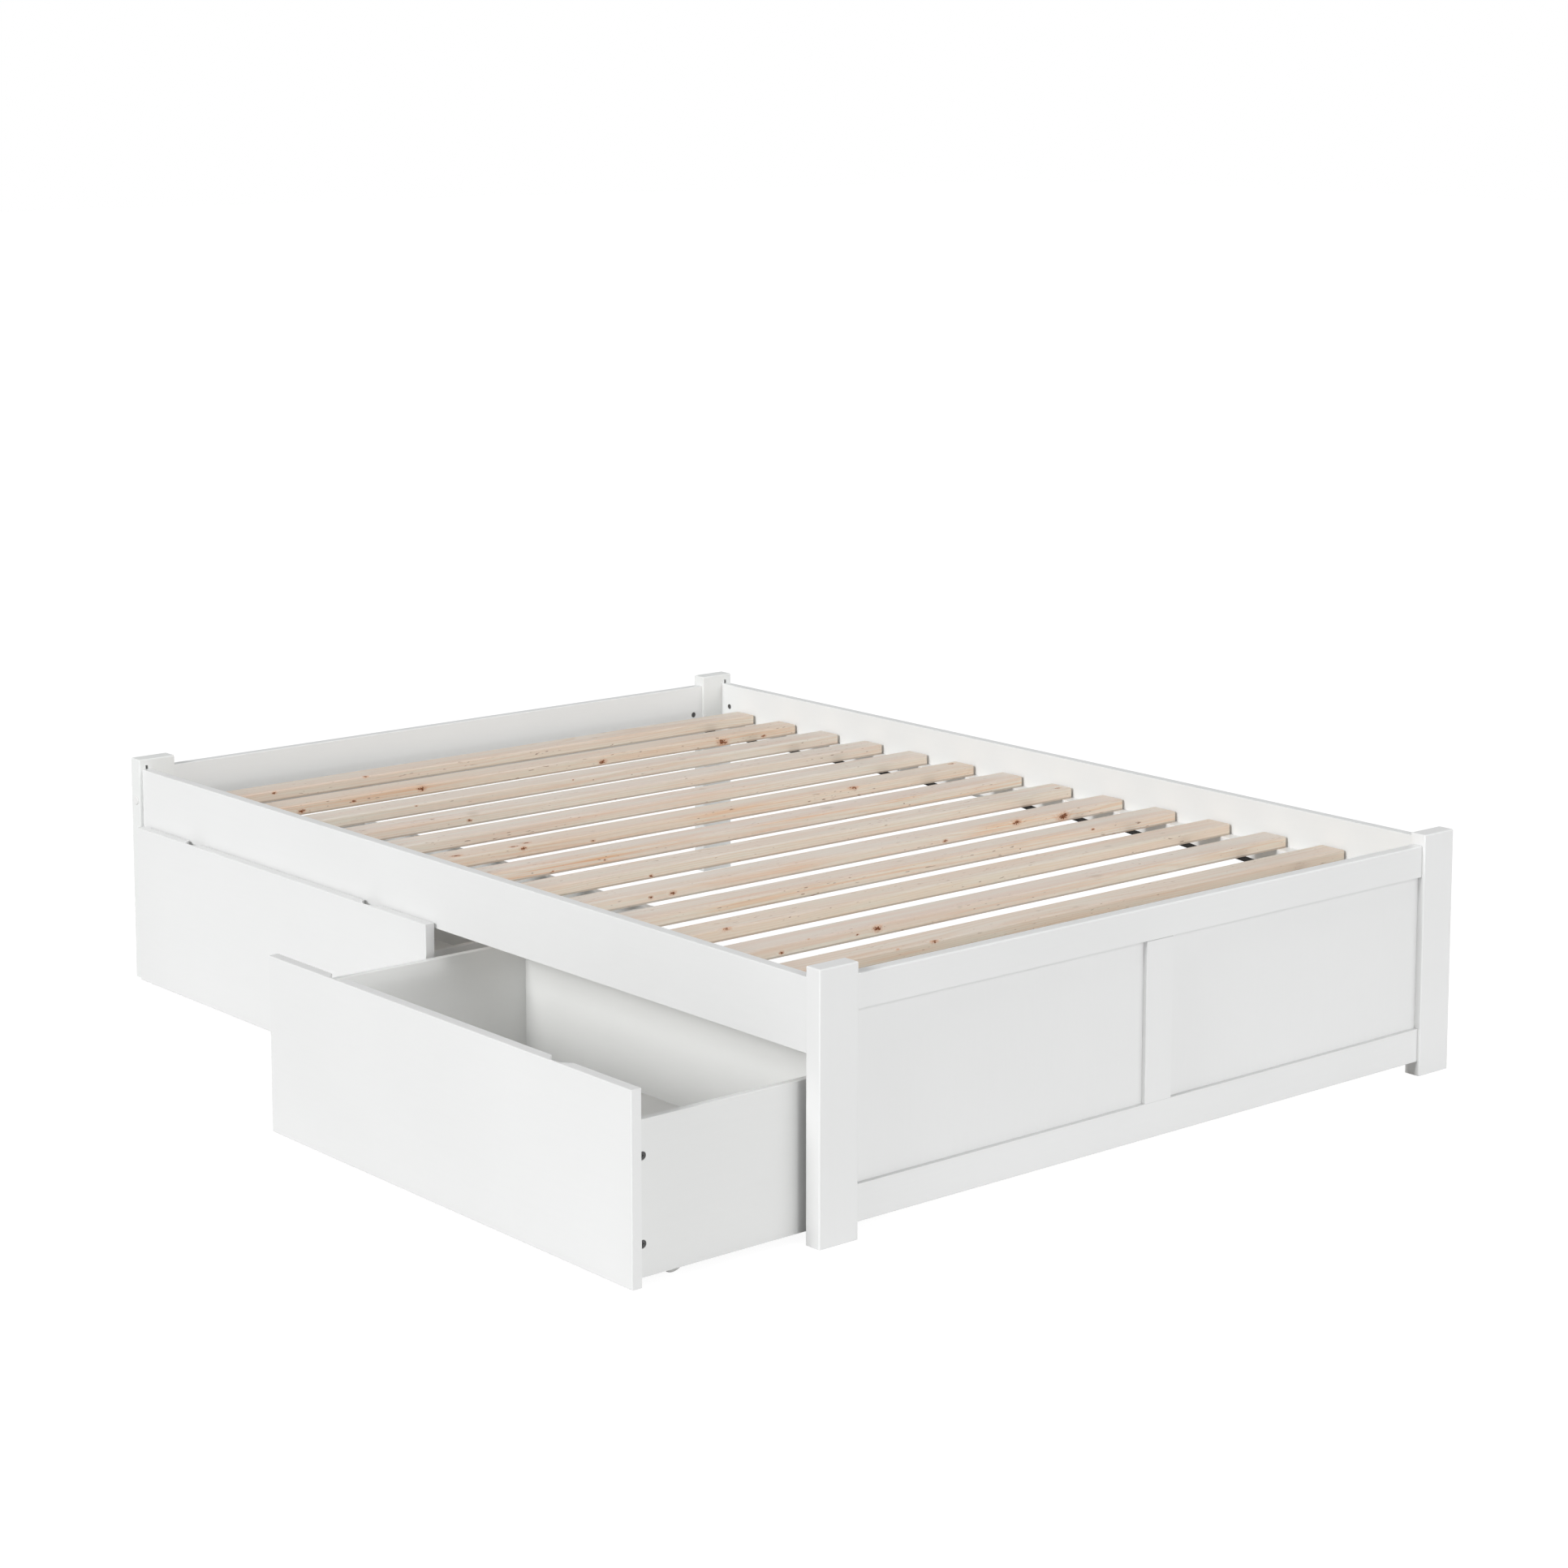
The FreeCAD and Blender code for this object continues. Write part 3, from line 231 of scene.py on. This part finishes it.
def pine(name, seed, heart, lo, hi, tone, warm, side, knots, dark_patches=()):
    """Planed softwood sawn along x: growth rings round a heart beside the board, soft colour streaks, fibres, dark
    patches and its own knots, with painted light lifting its near side and painted shade on its lower arrises.
    """
    n = Net(name)
    p = n.xyz(n.obj)
    far, top, wide = hi.y, hi.z, hi.y - lo.y
    y0, z0 = (lo.y + hi.y) / 2 + heart[0], (lo.z + hi.z) / 2 + heart[1]
    slow = n.xyz(n.noise(n.mapped(loc=(seed, seed * 2.3, 0), scale=(0.9, 5.0, 5.0)), 1.0, 2.0, 0.5, colour=True))
    wob = n.xyz(n.noise(n.mapped(loc=(seed * 5, 0, seed), scale=(5.0, 22.0, 22.0)), 1.0, 2.0, 0.5, colour=True))
    # how near each point is to a knot, measured in that knot's own radii
    near = None
    for (kx, ky, kz, rx, ry, rz) in knots:
        q = n.mapped(loc=(-kx / rx, -ky / ry, -kz / rz), scale=(1 / rx, 1 / ry, 1 / rz))
        d = n.vmath("LENGTH", q)
        near = d if near is None else n.math("MINIMUM", near, d)
    yy = n.math("ADD", n.math("SUBTRACT", p[1], y0), n.math("MULTIPLY", n.math("SUBTRACT", slow[1], 0.5), 0.060))
    zz = n.math("ADD", n.math("SUBTRACT", p[2], z0), n.math("MULTIPLY", n.math("SUBTRACT", slow[2], 0.5), 0.055))
    r = n.math("SQRT", n.math("ADD", n.math("MULTIPLY", yy, yy), n.math("MULTIPLY", zz, zz)))
    r = n.math("ADD", r, n.math("MULTIPLY", wob[0], 0.0045))
    if near is not None:
        swirl = n.span(near, 0.6, 5.0, 1.0, 0.0, "SMOOTHSTEP")
        r = n.math("ADD", r, n.math("MULTIPLY", swirl, 0.0052))
    turns = n.math("MULTIPLY", r, 250.0)
    saw = n.math("FRACT", turns)
    late = n.math("MULTIPLY", n.span(saw, 0.35, 0.92, 0.0, 1.0, "SMOOTHSTEP"), n.span(saw, 0.92, 1.0, 1.0, 0.0, "SMOOTHSTEP"))
    yearly = n.noise(n.join(0.0, n.math("MULTIPLY", r, 60.0), seed), 1.0, 2.0)
    late = n.math("MULTIPLY", late, n.span(yearly, 0.3, 0.7, 0.35, 1.0))
    fibre = n.noise(n.mapped(loc=(0, seed, 0), scale=(14.0, 1500.0, 1500.0)), 1.0, 2.0, 0.6)
    streak = n.noise(n.mapped(loc=(seed * 1.7, seed, 3.0), scale=(1.3, 60.0, 60.0)), 1.0, 3.0, 0.55)
    patch = n.noise(n.mapped(loc=(seed * 0.7, 5.0, seed), scale=(2.6, 9.0, 9.0)), 1.0, 2.0)
    light = tuple(tone * v for v in (0.780, 0.734 - 0.038 * warm, 0.680 - 0.070 * warm))
    deep = tuple(tone * v for v in (0.680, 0.560 - 0.045 * warm, 0.450 - 0.070 * warm))
    rosy = tuple(tone * v for v in (0.745, 0.605 - 0.030 * warm, 0.525 - 0.050 * warm))
    col = n.mix(n.math("MULTIPLY", late, 0.80), light, deep)
    col = n.mix(n.span(streak, 0.42, 0.70, 0.0, 0.72), col, rosy)
    col = n.mix(n.span(patch, 0.35, 0.75, 0.0, 0.30), col, tuple(tone * v for v in (0.79, 0.74, 0.67)))
    fleck = n.noise(n.mapped(loc=(seed * 0.43, -seed, 2.0), scale=(9.0, 120.0, 120.0)), 1.0, 3.0, 0.55)
    cool = n.noise(n.mapped(loc=(-seed * 0.6, seed, 6.0), scale=(5.0, 75.0, 75.0)), 1.0, 2.0, 0.5)
    col = n.mix(n.span(fleck, 0.52, 0.72, 0.0, 0.55), col, tuple(tone * v for v in (0.760, 0.610, 0.520 - 0.040 * warm)))
    col = n.mix(n.span(cool, 0.50, 0.70, 0.0, 0.45), col, tuple(tone * v for v in (0.735, 0.715, 0.640)))
    col = n.mix(n.span(fibre, 0.30, 0.75, 0.15, 0.0), col, tuple(0.80 * v for v in deep))
    # how far each point is round the section, from the far top edge over the arris and down the near side
    t = n.math("SUBTRACT", far + top, n.math("ADD", p[1], p[2]))
    # painted light: below the top arris, the near side and the underside are made lighter by the slat's lift factor,
    # standing in for the light they get
    low = n.span(p[2], top - 0.0040, top - 0.0012, 1.0, 0.0, "SMOOTHSTEP")
    col = n.mix(n.math("MULTIPLY", low, 0.9), col, n.mix(1.0, col, (side[1], side[1], 0.966 * side[1]), "MULTIPLY"))
    # red-gold grain lines over the arris and the near side, coming and going along the slat
    line = n.noise(n.mapped(loc=(seed * 0.31, seed, 9.0), scale=(4.0, 330.0, 330.0)), 1.0, 2.0, 0.55)
    where = n.noise(n.mapped(loc=(seed * 1.9, 0, seed), scale=(3.2, 26.0, 26.0)), 1.0, 2.0, 0.5)
    zone = n.math("MULTIPLY", n.span(t, 0.026, 0.050, 0.15, 1.0, "SMOOTHSTEP"), n.span(t, 0.068, 0.0765, 1.0, 0.35, "SMOOTHSTEP"))
    zone = n.math("MULTIPLY", zone, n.span(where, 0.30, 0.62, 0.15, 1.0))
    red = n.math("MULTIPLY", n.span(line, 0.44, 0.66, 0.10, 0.75), n.math("MULTIPLY", zone, max(0.0, 0.30 + 0.70 * side[0])))
    col = n.mix(red, col, n.mix(1.0, col, (0.99, 0.70, 0.50), "MULTIPLY"))
    # painted shade: the lower arrises, eased, darkened where they turn under
    u = n.math("SUBTRACT", wide / 2, n.math("ABSOLUTE", n.math("SUBTRACT", p[1], (lo.y + hi.y) / 2)))
    v = n.math("SUBTRACT", p[2], lo.z)
    under_arris_shade_dist = n.math("SQRT", n.math("ADD", n.math("MULTIPLY", u, u), n.math("MULTIPLY", v, v)))
    col = n.mix(n.span(under_arris_shade_dist, 0.0017, 0.0040, 0.85, 0.0, "SMOOTHSTEP"), col, n.mix(1.0, col, (0.60, 0.57, 0.55), "MULTIPLY"))
    # short dark resin ticks, here and there
    tick = n.noise(n.mapped(loc=(seed, -seed * 0.9, seed * 0.2), scale=(75.0, 430.0, 430.0)), 1.0, 0.0)
    few = n.noise(n.mapped(loc=(-seed, seed * 0.4, 1.0), scale=(6.0, 20.0, 20.0)), 1.0, 1.0)
    ticks = n.math("MULTIPLY", n.span(tick, 0.76, 0.82, 0.0, 0.75), n.span(few, 0.45, 0.55))
    col = n.mix(ticks, col, (0.30, 0.16, 0.095))
    # soft darker patches on the wood at the listed points
    for (sx, sy, sz, rx, ry, rz) in dark_patches:
        q = n.mapped(loc=(-sx / rx, -sy / ry, -sz / rz), scale=(1 / rx, 1 / ry, 1 / rz))
        d = n.math("ADD", n.vmath("LENGTH", q), n.math("MULTIPLY", n.math("SUBTRACT", wob[1], 0.5), 0.9))
        col = n.mix(n.span(d, 0.25, 1.0, 0.38, 0.0, "SMOOTHSTEP"), col, (0.45, 0.37, 0.29))
    if near is not None:
        ragged = n.noise(n.mapped(loc=(seed, 0, 0), scale=(300.0, 420.0, 420.0)), 1.0, 2.0, 0.6)
        edge = n.math("ADD", near, n.math("MULTIPLY", n.math("SUBTRACT", ragged, 0.5), 3.0))
        col = n.mix(n.span(edge, 0.9, 3.0, 0.68, 0.0, "SMOOTHSTEP"), col, (0.66, 0.35, 0.20))
        rings = n.math("FRACT", n.math("MULTIPLY", edge, 2.6))
        heart = n.mix(n.span(rings, 0.3, 0.8), (0.085, 0.030, 0.014), (0.44, 0.155, 0.062))
        col = n.mix(n.span(edge, 0.75, 1.10, 1.0, 0.0, "SMOOTHSTEP"), col, heart)
    h = n.math("ADD", n.math("MULTIPLY", late, 0.5), n.math("MULTIPLY", fibre, 0.5))
    rough = n.span(late, 0.0, 1.0, 0.66, 0.55)
    return n.finish(col, rough, n.bump(h, 0.00022, 0.55), spec=0.28)


def plated(name, tone, rough, seed, metal=1.0):
    """Plated steel: cloudy zinc with fine drawing lines."""
    n = Net(name)
    cloud = n.noise(n.mapped(loc=(seed, 0, 0)), 160.0, 3.0)
    col = n.band(cloud, [(0.3, tuple(0.86 * v for v in tone)), (0.7, tone)])
    r = n.span(cloud, 0.3, 0.7, rough + 0.07, rough - 0.05)
    fine = n.noise(n.mapped(loc=(0, 0, seed), scale=(300.0, 300.0, 2600.0)), 1.0, 2.0)
    return n.finish(col, r, n.bump(fine, 0.00004, 0.5), metal=metal, spec=0.5)


def moulded(name, tone, rough, seed):
    """Injection-moulded plastic with a fine spark-eroded skin."""
    n = Net(name)
    cloud = n.noise(n.mapped(loc=(seed, 0, 0)), 40.0, 2.0)
    col = n.band(cloud, [(0.3, tuple(0.97 * v for v in tone)), (0.7, tone)])
    skin = n.noise(n.mapped(loc=(0, seed, 0)), 1500.0, 2.0)
    return n.finish(col, n.span(cloud, 0.3, 0.7, rough, rough + 0.05), n.bump(skin, 0.00005, 0.4), spec=0.5)


def webbing(name):
    """Woven polypropylene webbing: ribs along the strap, crossed by the picks of the weave in a chevron."""
    n = Net(name)
    p = n.xyz(n.obj)
    rib = n.math("ABSOLUTE", n.math("SINE", n.math("MULTIPLY", p[0], math.pi / 0.0026)))
    side = n.math("PINGPONG", p[0], 0.0052)
    pick = n.math("SINE", n.math("MULTIPLY", n.math("ADD", p[1], side), 2 * math.pi / 0.0021))
    h = n.math("ADD", n.math("MULTIPLY", rib, 0.5), n.math("MULTIPLY", pick, 0.25))
    fuzz = n.noise(n.mapped(scale=(1500.0, 1500.0, 1500.0)), 1.0, 2.0)
    col = n.mix(n.span(h, -0.1, 0.7), (0.006, 0.006, 0.006), (0.018, 0.017, 0.016))
    col = n.mix(n.span(fuzz, 0.45, 0.8, 0.0, 0.3), col, (0.030, 0.029, 0.028))
    return n.finish(col, 0.9, n.bump(h, 0.0004, 0.9), spec=0.10, sheen=0.04)


def dress(name, mat):
    o = nodes[name]
    o.data.materials.clear()
    o.data.materials.append(mat)
    for poly in o.data.polygons:
        poly.material_index = 0


# painted wood: the grain runs the long way of each piece
along_x = ["foot_top_rail", "foot_bottom_rail", "head_board", "foot_drawer_side_near", "foot_drawer_side_far",
           "head_drawer_side_near", "head_drawer_side_far"]
along_y = ["side_rail_left", "side_rail_right", "cleat_left", "cleat_right", "foot_drawer_front", "head_drawer_front",
           "foot_drawer_back", "head_drawer_back"]
along_z = ["post_foot_left", "post_foot_right", "post_head_left", "post_head_right", "foot_stile",
           "foot_panel_left", "foot_panel_right"]
recess = (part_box("foot_panel_left")[0].y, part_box("foot_bottom_rail")[1].z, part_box("foot_top_rail")[0].z)
for axis, group in (("x", along_x), ("y", along_y), ("z", along_z)):
    for i, name in enumerate(group):
        # painted light: the head board's and right rail's tones, the drawers' darker near sides and lighter far sides,
        # and the head posts' tint stand in for the light and shade those boards get; the paint itself is one white
        tone = (0.995, 1.0, 0.998)
        if name in ("head_board", "side_rail_right"):
            tone = (0.974, 0.987, 0.986)
        elif name.endswith("side_near"):
            tone = (0.950, 0.956, 0.948)
        elif name.endswith("side_far"):
            tone = (1.028, 1.036, 1.024)
        elif "drawer_" in name and "front" not in name:
            tone = (0.990, 0.998, 0.985)
        elif name.startswith("post_head"):
            tone = (0.985, 1.0, 0.99)
        elif name.startswith("cleat"):
            tone = (1.00, 0.995, 0.98)
        lo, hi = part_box(name)
        # the stile's two sides and the foot posts' inner faces take painted shade as recess walls
        inner = {"foot_stile": (lo.x, hi.x), "post_foot_left": (hi.x,), "post_foot_right": (lo.x,)}.get(name)
        recess_shade = (inner, lo.y, *recess) if inner else None
        # the stile's line is its joint with the top rail; the rails' end lines are joints, darkened as painted shade in
        # the inner corners beside the posts; the bottom rail's line at its top darkens its whole top face, the ledge,
        # as painted shade
        joints_and_shade = {"foot_stile": [(2, hi.z, 0.0018, 0.52)], "foot_top_rail": [(0, lo.x, 0.0030, 0.30), (0, hi.x, 0.0030, 0.30)],
                 "foot_bottom_rail": [(0, lo.x, 0.0030, 0.36), (0, hi.x, 0.0030, 0.36), (2, hi.z, 0.0008, 0.27)]}.get(name, ())
        dress(name, white_paint("paint_" + name, axis, 1.3 + 2.17 * i, tone, recess_shade=recess_shade, joints_and_shade=joints_and_shade))
for i, name in enumerate(("foot_drawer_floor", "head_drawer_floor")):
    dress(name, faced_board("board_" + name, 1.0 + i))

# pine slats: tone, warmth, heart offset (y, z) from the slat's middle, then knots and dark patches, each as x (m),
# distance round the section from the far top edge (mm) and size (mm)
SLATS = {
    1: (0.980, 0.55, (0.020, -0.060), [(-0.336, 60, 3.6), (-0.129, 55, 4.4)], [(0.444, 35, 7), (0.489, 5, 8)]),
    2: (0.985, 0.95, (-0.045, -0.030), [(-0.091, 63, 6.4), (-0.362, 69, 5.6), (0.344, 68, 6.6), (0.654, 68, 10.0), (-0.246, 66, 3.6), (0.764, 69, 4.0)], [(-0.091, 47, 7), (0.399, 53, 6)]),
    3: (0.988, 0.12, (0.060, -0.045), [(-0.196, 59, 2.2), (0.169, 59, 2.0)], [(0.447, 49, 8), (0.654, 46, 9)]),
    4: (0.995, 0.02, (-0.020, 0.070), [(-0.171, 67, 3.8)], [(-0.160, 49, 14)]),
    5: (0.998, 0.15, (0.035, -0.090), [], [(0.30, 20, 10)]),
    6: (1.000, 0.75, (-0.055, -0.020), [(-0.379, 41, 8.0), (-0.261, 48, 6.4), (-0.225, 38, 6.0), (-0.245, 60, 5.0), (0.534, 56, 7.4), (0.827, 16, 5.4), (-0.091, 69, 3.0)], [(-0.233, 33, 8), (0.764, 46, 7), (-0.08, 40, 6)]),
    7: (0.995, -0.15, (0.050, 0.060), [(-0.168, 68, 2.6), (-0.281, 71, 2.2)], [(0.374, 26, 15)]),
    8: (1.000, 0.55, (0.015, -0.075), [(-0.171, 71, 3.2), (0.827, 42, 5.0)], [(0.28, 44, 7)]),
    9: (1.000, 0.05, (-0.070, -0.025), [(0.574, 60, 7.0), (0.692, 67, 10.4), (-0.231, 66, 4.6), (-0.278, 66, 3.4), (0.394, 69, 3.8)], []),
    10: (0.993, 0.28, (0.040, -0.050), [(0.634, 58, 3.4)], [(0.19, 24, 7)]),
    11: (0.990, 1.15, (-0.035, 0.080), [(-0.336, 56, 6.0)], [(0.55, 40, 8), (0.70, 30, 7)]),
    12: (0.988, 0.12, (0.065, -0.030), [(-0.336, 69, 3.6), (-0.133, 63, 6.6), (-0.278, 55, 2.4), (-0.176, 66, 2.2)], [(0.374, 48, 15), (0.05, 55, 6)]),
    13: (0.980, 0.80, (-0.025, -0.070), [(-0.133, 56, 5.6), (-0.211, 56, 3.0)], [(0.194, 44, 7), (0.129, 22, 6)]),
    14: (0.985, 0.60, (0.045, 0.065), [(0.21, 60, 4.5), (-0.30, 30, 3.5)], [(0.5, 30, 8)]),
}
# each slat's near side: how red its grain lines are, and how much lighter it is painted, as painted light standing in
# for the light it gets
NEAR_SIDE_RED_AND_PAINTED_LIGHT = {1: (0.15, 1.20), 2: (0.90, 1.18), 3: (0.40, 1.18), 4: (0.30, 1.20), 5: (0.35, 1.22), 6: (0.90, 1.22), 7: (1.70, 1.22),
         8: (-0.10, 1.24), 9: (1.15, 1.26), 10: (0.90, 1.26), 11: (-0.43, 1.26), 12: (0.50, 1.25), 13: (0.30, 1.14), 14: (0.40, 1.20)}
for k, (tone, warm, heart, knots, dark_patches) in SLATS.items():
    name = "slat_%02d" % k
    lo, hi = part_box(name)

    def spot(t):
        """The point t mm from the far top edge, over the top face and down the near face."""
        t /= 1000.0
        wide = hi.y - lo.y
        return (hi.y - t, hi.z) if t <= wide else (lo.y, hi.z - (t - wide))

    # each knot is a small core with two lesser marks beside it
    ks = []
    for m, (x, t, size) in enumerate(knots):
        size /= 1000.0
        ks.append((x, *spot(t), 0.80 * size, 0.40 * size, 0.40 * size))
        if size > 0.003:
            a = 2.4 * m + 1.7 * k
            ks.append((x + 1.15 * size * math.cos(a), *spot(t + 420 * size * math.sin(a)), 0.42 * size, 0.20 * size, 0.20 * size))
            ks.append((x - 0.90 * size * math.sin(a), *spot(t - 480 * size * math.cos(a)), 0.36 * size, 0.17 * size, 0.17 * size))
    ss = [(x, *spot(t), 1.5 * s / 1000, 0.8 * s / 1000, 0.8 * s / 1000) for x, t, s in dark_patches]
    dress(name, pine("pine_%02d" % k, 3.7 * k, heart, lo, hi, tone, warm, NEAR_SIDE_RED_AND_PAINTED_LIGHT[k], ks, ss))

zinc = plated("zinc_plate", (0.60, 0.60, 0.585), 0.36, 1.0)
zinc_dark = plated("dark_zinc", (0.17, 0.17, 0.172), 0.42, 2.0)
for name in ("cleat_screws", "head_bolts", "rail_hook_plates", "foot_drawer_caster_forks", "head_drawer_caster_forks",
             "foot_drawer_caster_axles", "head_drawer_caster_axles"):
    dress(name, zinc)
for name in ("rail_cross_pins", "head_barrel_nuts", "foot_drawer_fittings", "head_drawer_fittings"):
    dress(name, zinc_dark)
cap_plastic = moulded("cap_plastic", (0.80, 0.80, 0.79), 0.34, 1.0)
wheel_nylon = moulded("wheel_nylon", (0.66, 0.66, 0.64), 0.40, 2.0)
dress("bolt_caps", cap_plastic)
for name in nodes:
    if "_wheel_" in name:
        dress(name, wheel_nylon)


# ---------------------------------------------------------------- webbing straps
def loose_boxes(name):
    """Boxes of a CAD node's separate solids."""
    me = nodes[name].data
    group = list(range(len(me.vertices)))

    def root(i):
        while group[i] != i:
            group[i] = group[group[i]]
            i = group[i]
        return i

    seen = {}
    for i, v in enumerate(me.vertices):
        key = tuple(round(c, 5) for c in v.co)
        if key in seen:
            group[root(i)] = root(seen[key])
        seen.setdefault(key, i)
    for e in me.edges:
        a, b = root(e.vertices[0]), root(e.vertices[1])
        if a != b:
            group[a] = b
    boxes = {}
    for i, v in enumerate(me.vertices):
        lo, hi = boxes.setdefault(root(i), (Vector((1e9,) * 3), Vector((-1e9,) * 3)))
        for c in range(3):
            lo[c] = min(lo[c], v.co[c])
            hi[c] = max(hi[c], v.co[c])
    return sorted(boxes.values(), key=lambda b: (round(b[0].y, 3), round(b[0].x, 3)))


slat_spans = sorted((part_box("slat_%02d" % k)[0].y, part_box("slat_%02d" % k)[1].y) for k in range(1, 15))
web = webbing("black_webbing")


def strap(name, lo, hi):
    """A ribbon of ribbed webbing, held up under each slat and hanging a little between two."""
    across, step = 20, 0.004
    rows = int(round((hi.y - lo.y) / step))
    thick = hi.z - lo.z
    ribs = 5
    verts, faces = [], []
    ring = []
    for i in range(across + 1):
        s = i / across
        edge = min(1.0, 4.0 * min(s, 1 - s) + 0.35)
        rib = 0.10 * math.cos(2 * math.pi * ribs * s)
        half = 0.5 * thick * (edge * 0.88 + rib * min(1.0, 3.0 * min(s, 1 - s)))
        ring.append((lo.x + s * (hi.x - lo.x), half))
    for j in range(rows + 1):
        y = lo.y + (hi.y - lo.y) * j / rows
        sag = 0.0
        for (a0, a1), (b0, b1) in zip(slat_spans, slat_spans[1:]):
            if a1 < y < b0:
                t = (y - a1) / (b0 - a1)
                sag = 0.0022 * 4 * t * (1 - t)
        mid = (lo.z + hi.z) / 2 - sag
        wave = 0.00025 * math.sin(y * 61.0)
        for x, h in ring:
            verts.append((x + wave, y, mid + h))
        for x, h in reversed(ring):
            verts.append((x + wave, y, mid - h))
    m = 2 * (across + 1)
    for j in range(rows):
        for i in range(m):
            a, b = j * m + i, j * m + (i + 1) % m
            faces.append((a, b, b + m, a + m))
    faces.append(tuple(reversed(range(m))))
    faces.append(tuple(rows * m + i for i in range(m)))
    me = bpy.data.meshes.new(name)
    me.from_pydata(verts, [], faces)
    me.update()
    me.flip_normals()
    for poly in me.polygons:
        poly.use_smooth = len(poly.vertices) == 4
    me.materials.append(web)
    o = bpy.data.objects.new(name, me)
    scene.collection.objects.link(o)
    return o


straps = []
for i, (lo, hi) in enumerate(loose_boxes("slat_straps")):
    s = strap("webbing_strap_%d" % (i + 1), lo, hi)
    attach(s, "bed_frame")
    straps.append(s)
for s in straps:
    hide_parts("slat_straps")


# ---------------------------------------------------------------- floor, light, camera
def plane(name, size, z):
    me = bpy.data.meshes.new(name)
    h = size / 2
    me.from_pydata([(-h, -h, z), (h, -h, z), (h, h, z), (-h, h, z)], [], [(0, 1, 2, 3)])
    o = bpy.data.objects.new(name, me)
    scene.collection.objects.link(o)
    return o


floor = plane("studio_floor", 60.0, -0.0005)
fm = bpy.data.materials.new("studio_floor")
fm.use_nodes = True
t = fm.node_tree
t.nodes.clear()
out = t.nodes.new("ShaderNodeOutputMaterial")
path = t.nodes.new("ShaderNodeLightPath")
switch = t.nodes.new("ShaderNodeMixShader")
dim = t.nodes.new("ShaderNodeBsdfDiffuse")
dim.inputs["Color"].default_value = (0.68, 0.68, 0.68, 1)
pale = t.nodes.new("ShaderNodeBsdfDiffuse")
pale.inputs["Color"].default_value = (0.14, 0.14, 0.14, 1)
glow = t.nodes.new("ShaderNodeEmission")
glow.inputs["Color"].default_value = (1, 1, 1, 1)
glow.inputs["Strength"].default_value = 0.94
both = t.nodes.new("ShaderNodeAddShader")
t.links.new(pale.outputs[0], both.inputs[0])
t.links.new(glow.outputs[0], both.inputs[1])
t.links.new(path.outputs["Is Camera Ray"], switch.inputs[0])
t.links.new(dim.outputs[0], switch.inputs[1])
t.links.new(both.outputs[0], switch.inputs[2])
t.links.new(switch.outputs[0], out.inputs["Surface"])
floor.data.materials.append(fm)

AIR, POWER = 0.357, [0.39, 1.33, 0.84, 0.36, 0.63, 0.37, 0.72, 1.05]

world = bpy.data.worlds.new("studio")
scene.world = world
world.use_nodes = True
w = world.node_tree
w.nodes.clear()
wout = w.nodes.new("ShaderNodeOutputWorld")
wpath = w.nodes.new("ShaderNodeLightPath")
wmix = w.nodes.new("ShaderNodeMixShader")
air = w.nodes.new("ShaderNodeBackground")
air.inputs["Color"].default_value = (1.0, 1.0, 1.0, 1)
air.inputs["Strength"].default_value = AIR
white = w.nodes.new("ShaderNodeBackground")
white.inputs["Color"].default_value = (1, 1, 1, 1)
white.inputs["Strength"].default_value = 1.0
w.links.new(wpath.outputs["Is Camera Ray"], wmix.inputs[0])
w.links.new(air.outputs[0], wmix.inputs[1])
w.links.new(white.outputs[0], wmix.inputs[2])
w.links.new(wmix.outputs[0], wout.inputs["Surface"])


def sun(name, towards, strength, angle):
    """A sun shining along the direction given."""
    d = bpy.data.lights.new(name, "SUN")
    d.energy = strength
    d.angle = math.radians(angle)
    d.color = (1.0, 1.0, 1.0)
    o = bpy.data.objects.new(name, d)
    o.rotation_mode = "QUATERNION"
    o.rotation_quaternion = Vector(towards).to_track_quat("-Z", "Y")
    scene.collection.objects.link(o)
    return o


# name, azimuth of the light (0 = from the foot, -90 = from the drawer side, 90 = from the far side), elevation, softness
SOFT = [("key_foot", 0, 1.5, 2), ("key_side", -90, 22, 14), ("key_mid", -90, 30, 16), ("foot_right", 45, 18, 60), ("foot_mid", 0, 27, 30),
        ("foot_diagonal", 25, 24, 40), ("back_fill", 175, 7, 14), ("right_fill", 112, 7, 14)]
for (name, az, el, soft), power in zip(SOFT, POWER):
    a, e = math.radians(az), math.radians(el)
    if power > 0:
        sun(name, (-math.sin(a) * math.cos(e), math.cos(a) * math.cos(e), -math.sin(e)), power, soft)

cam_data = bpy.data.cameras.new("camera")
cam_data.sensor_fit = "HORIZONTAL"
cam_data.sensor_width = 36.0
cam_data.lens = 36.0 * 2.2096
cam_data.shift_x = -0.0143
cam_data.shift_y = -0.1561
cam_data.clip_start, cam_data.clip_end = 0.05, 200.0
cam_data.dof.use_dof = False
cam = bpy.data.objects.new("camera", cam_data)
scene.collection.objects.link(cam)
yaw, pitch, roll = 0.7049, math.radians(8.0), 0.0014
look = Vector((math.sin(yaw) * math.cos(pitch), math.cos(yaw) * math.cos(pitch), -math.sin(pitch)))
right = Vector((math.cos(yaw), -math.sin(yaw), 0.0))
up = right.cross(look)
r2 = math.cos(roll) * right + math.sin(roll) * up
u2 = -math.sin(roll) * right + math.cos(roll) * up
m = Matrix((r2, u2, -look)).transposed().to_4x4()
m.translation = Vector((-3.7632, -4.7372, 1.7519))
cam.matrix_world = m
scene.camera = cam

scene.view_settings.view_transform = "Standard"
scene.view_settings.look = "None"
scene.view_settings.exposure = 0.0
scene.view_settings.gamma = 1.0
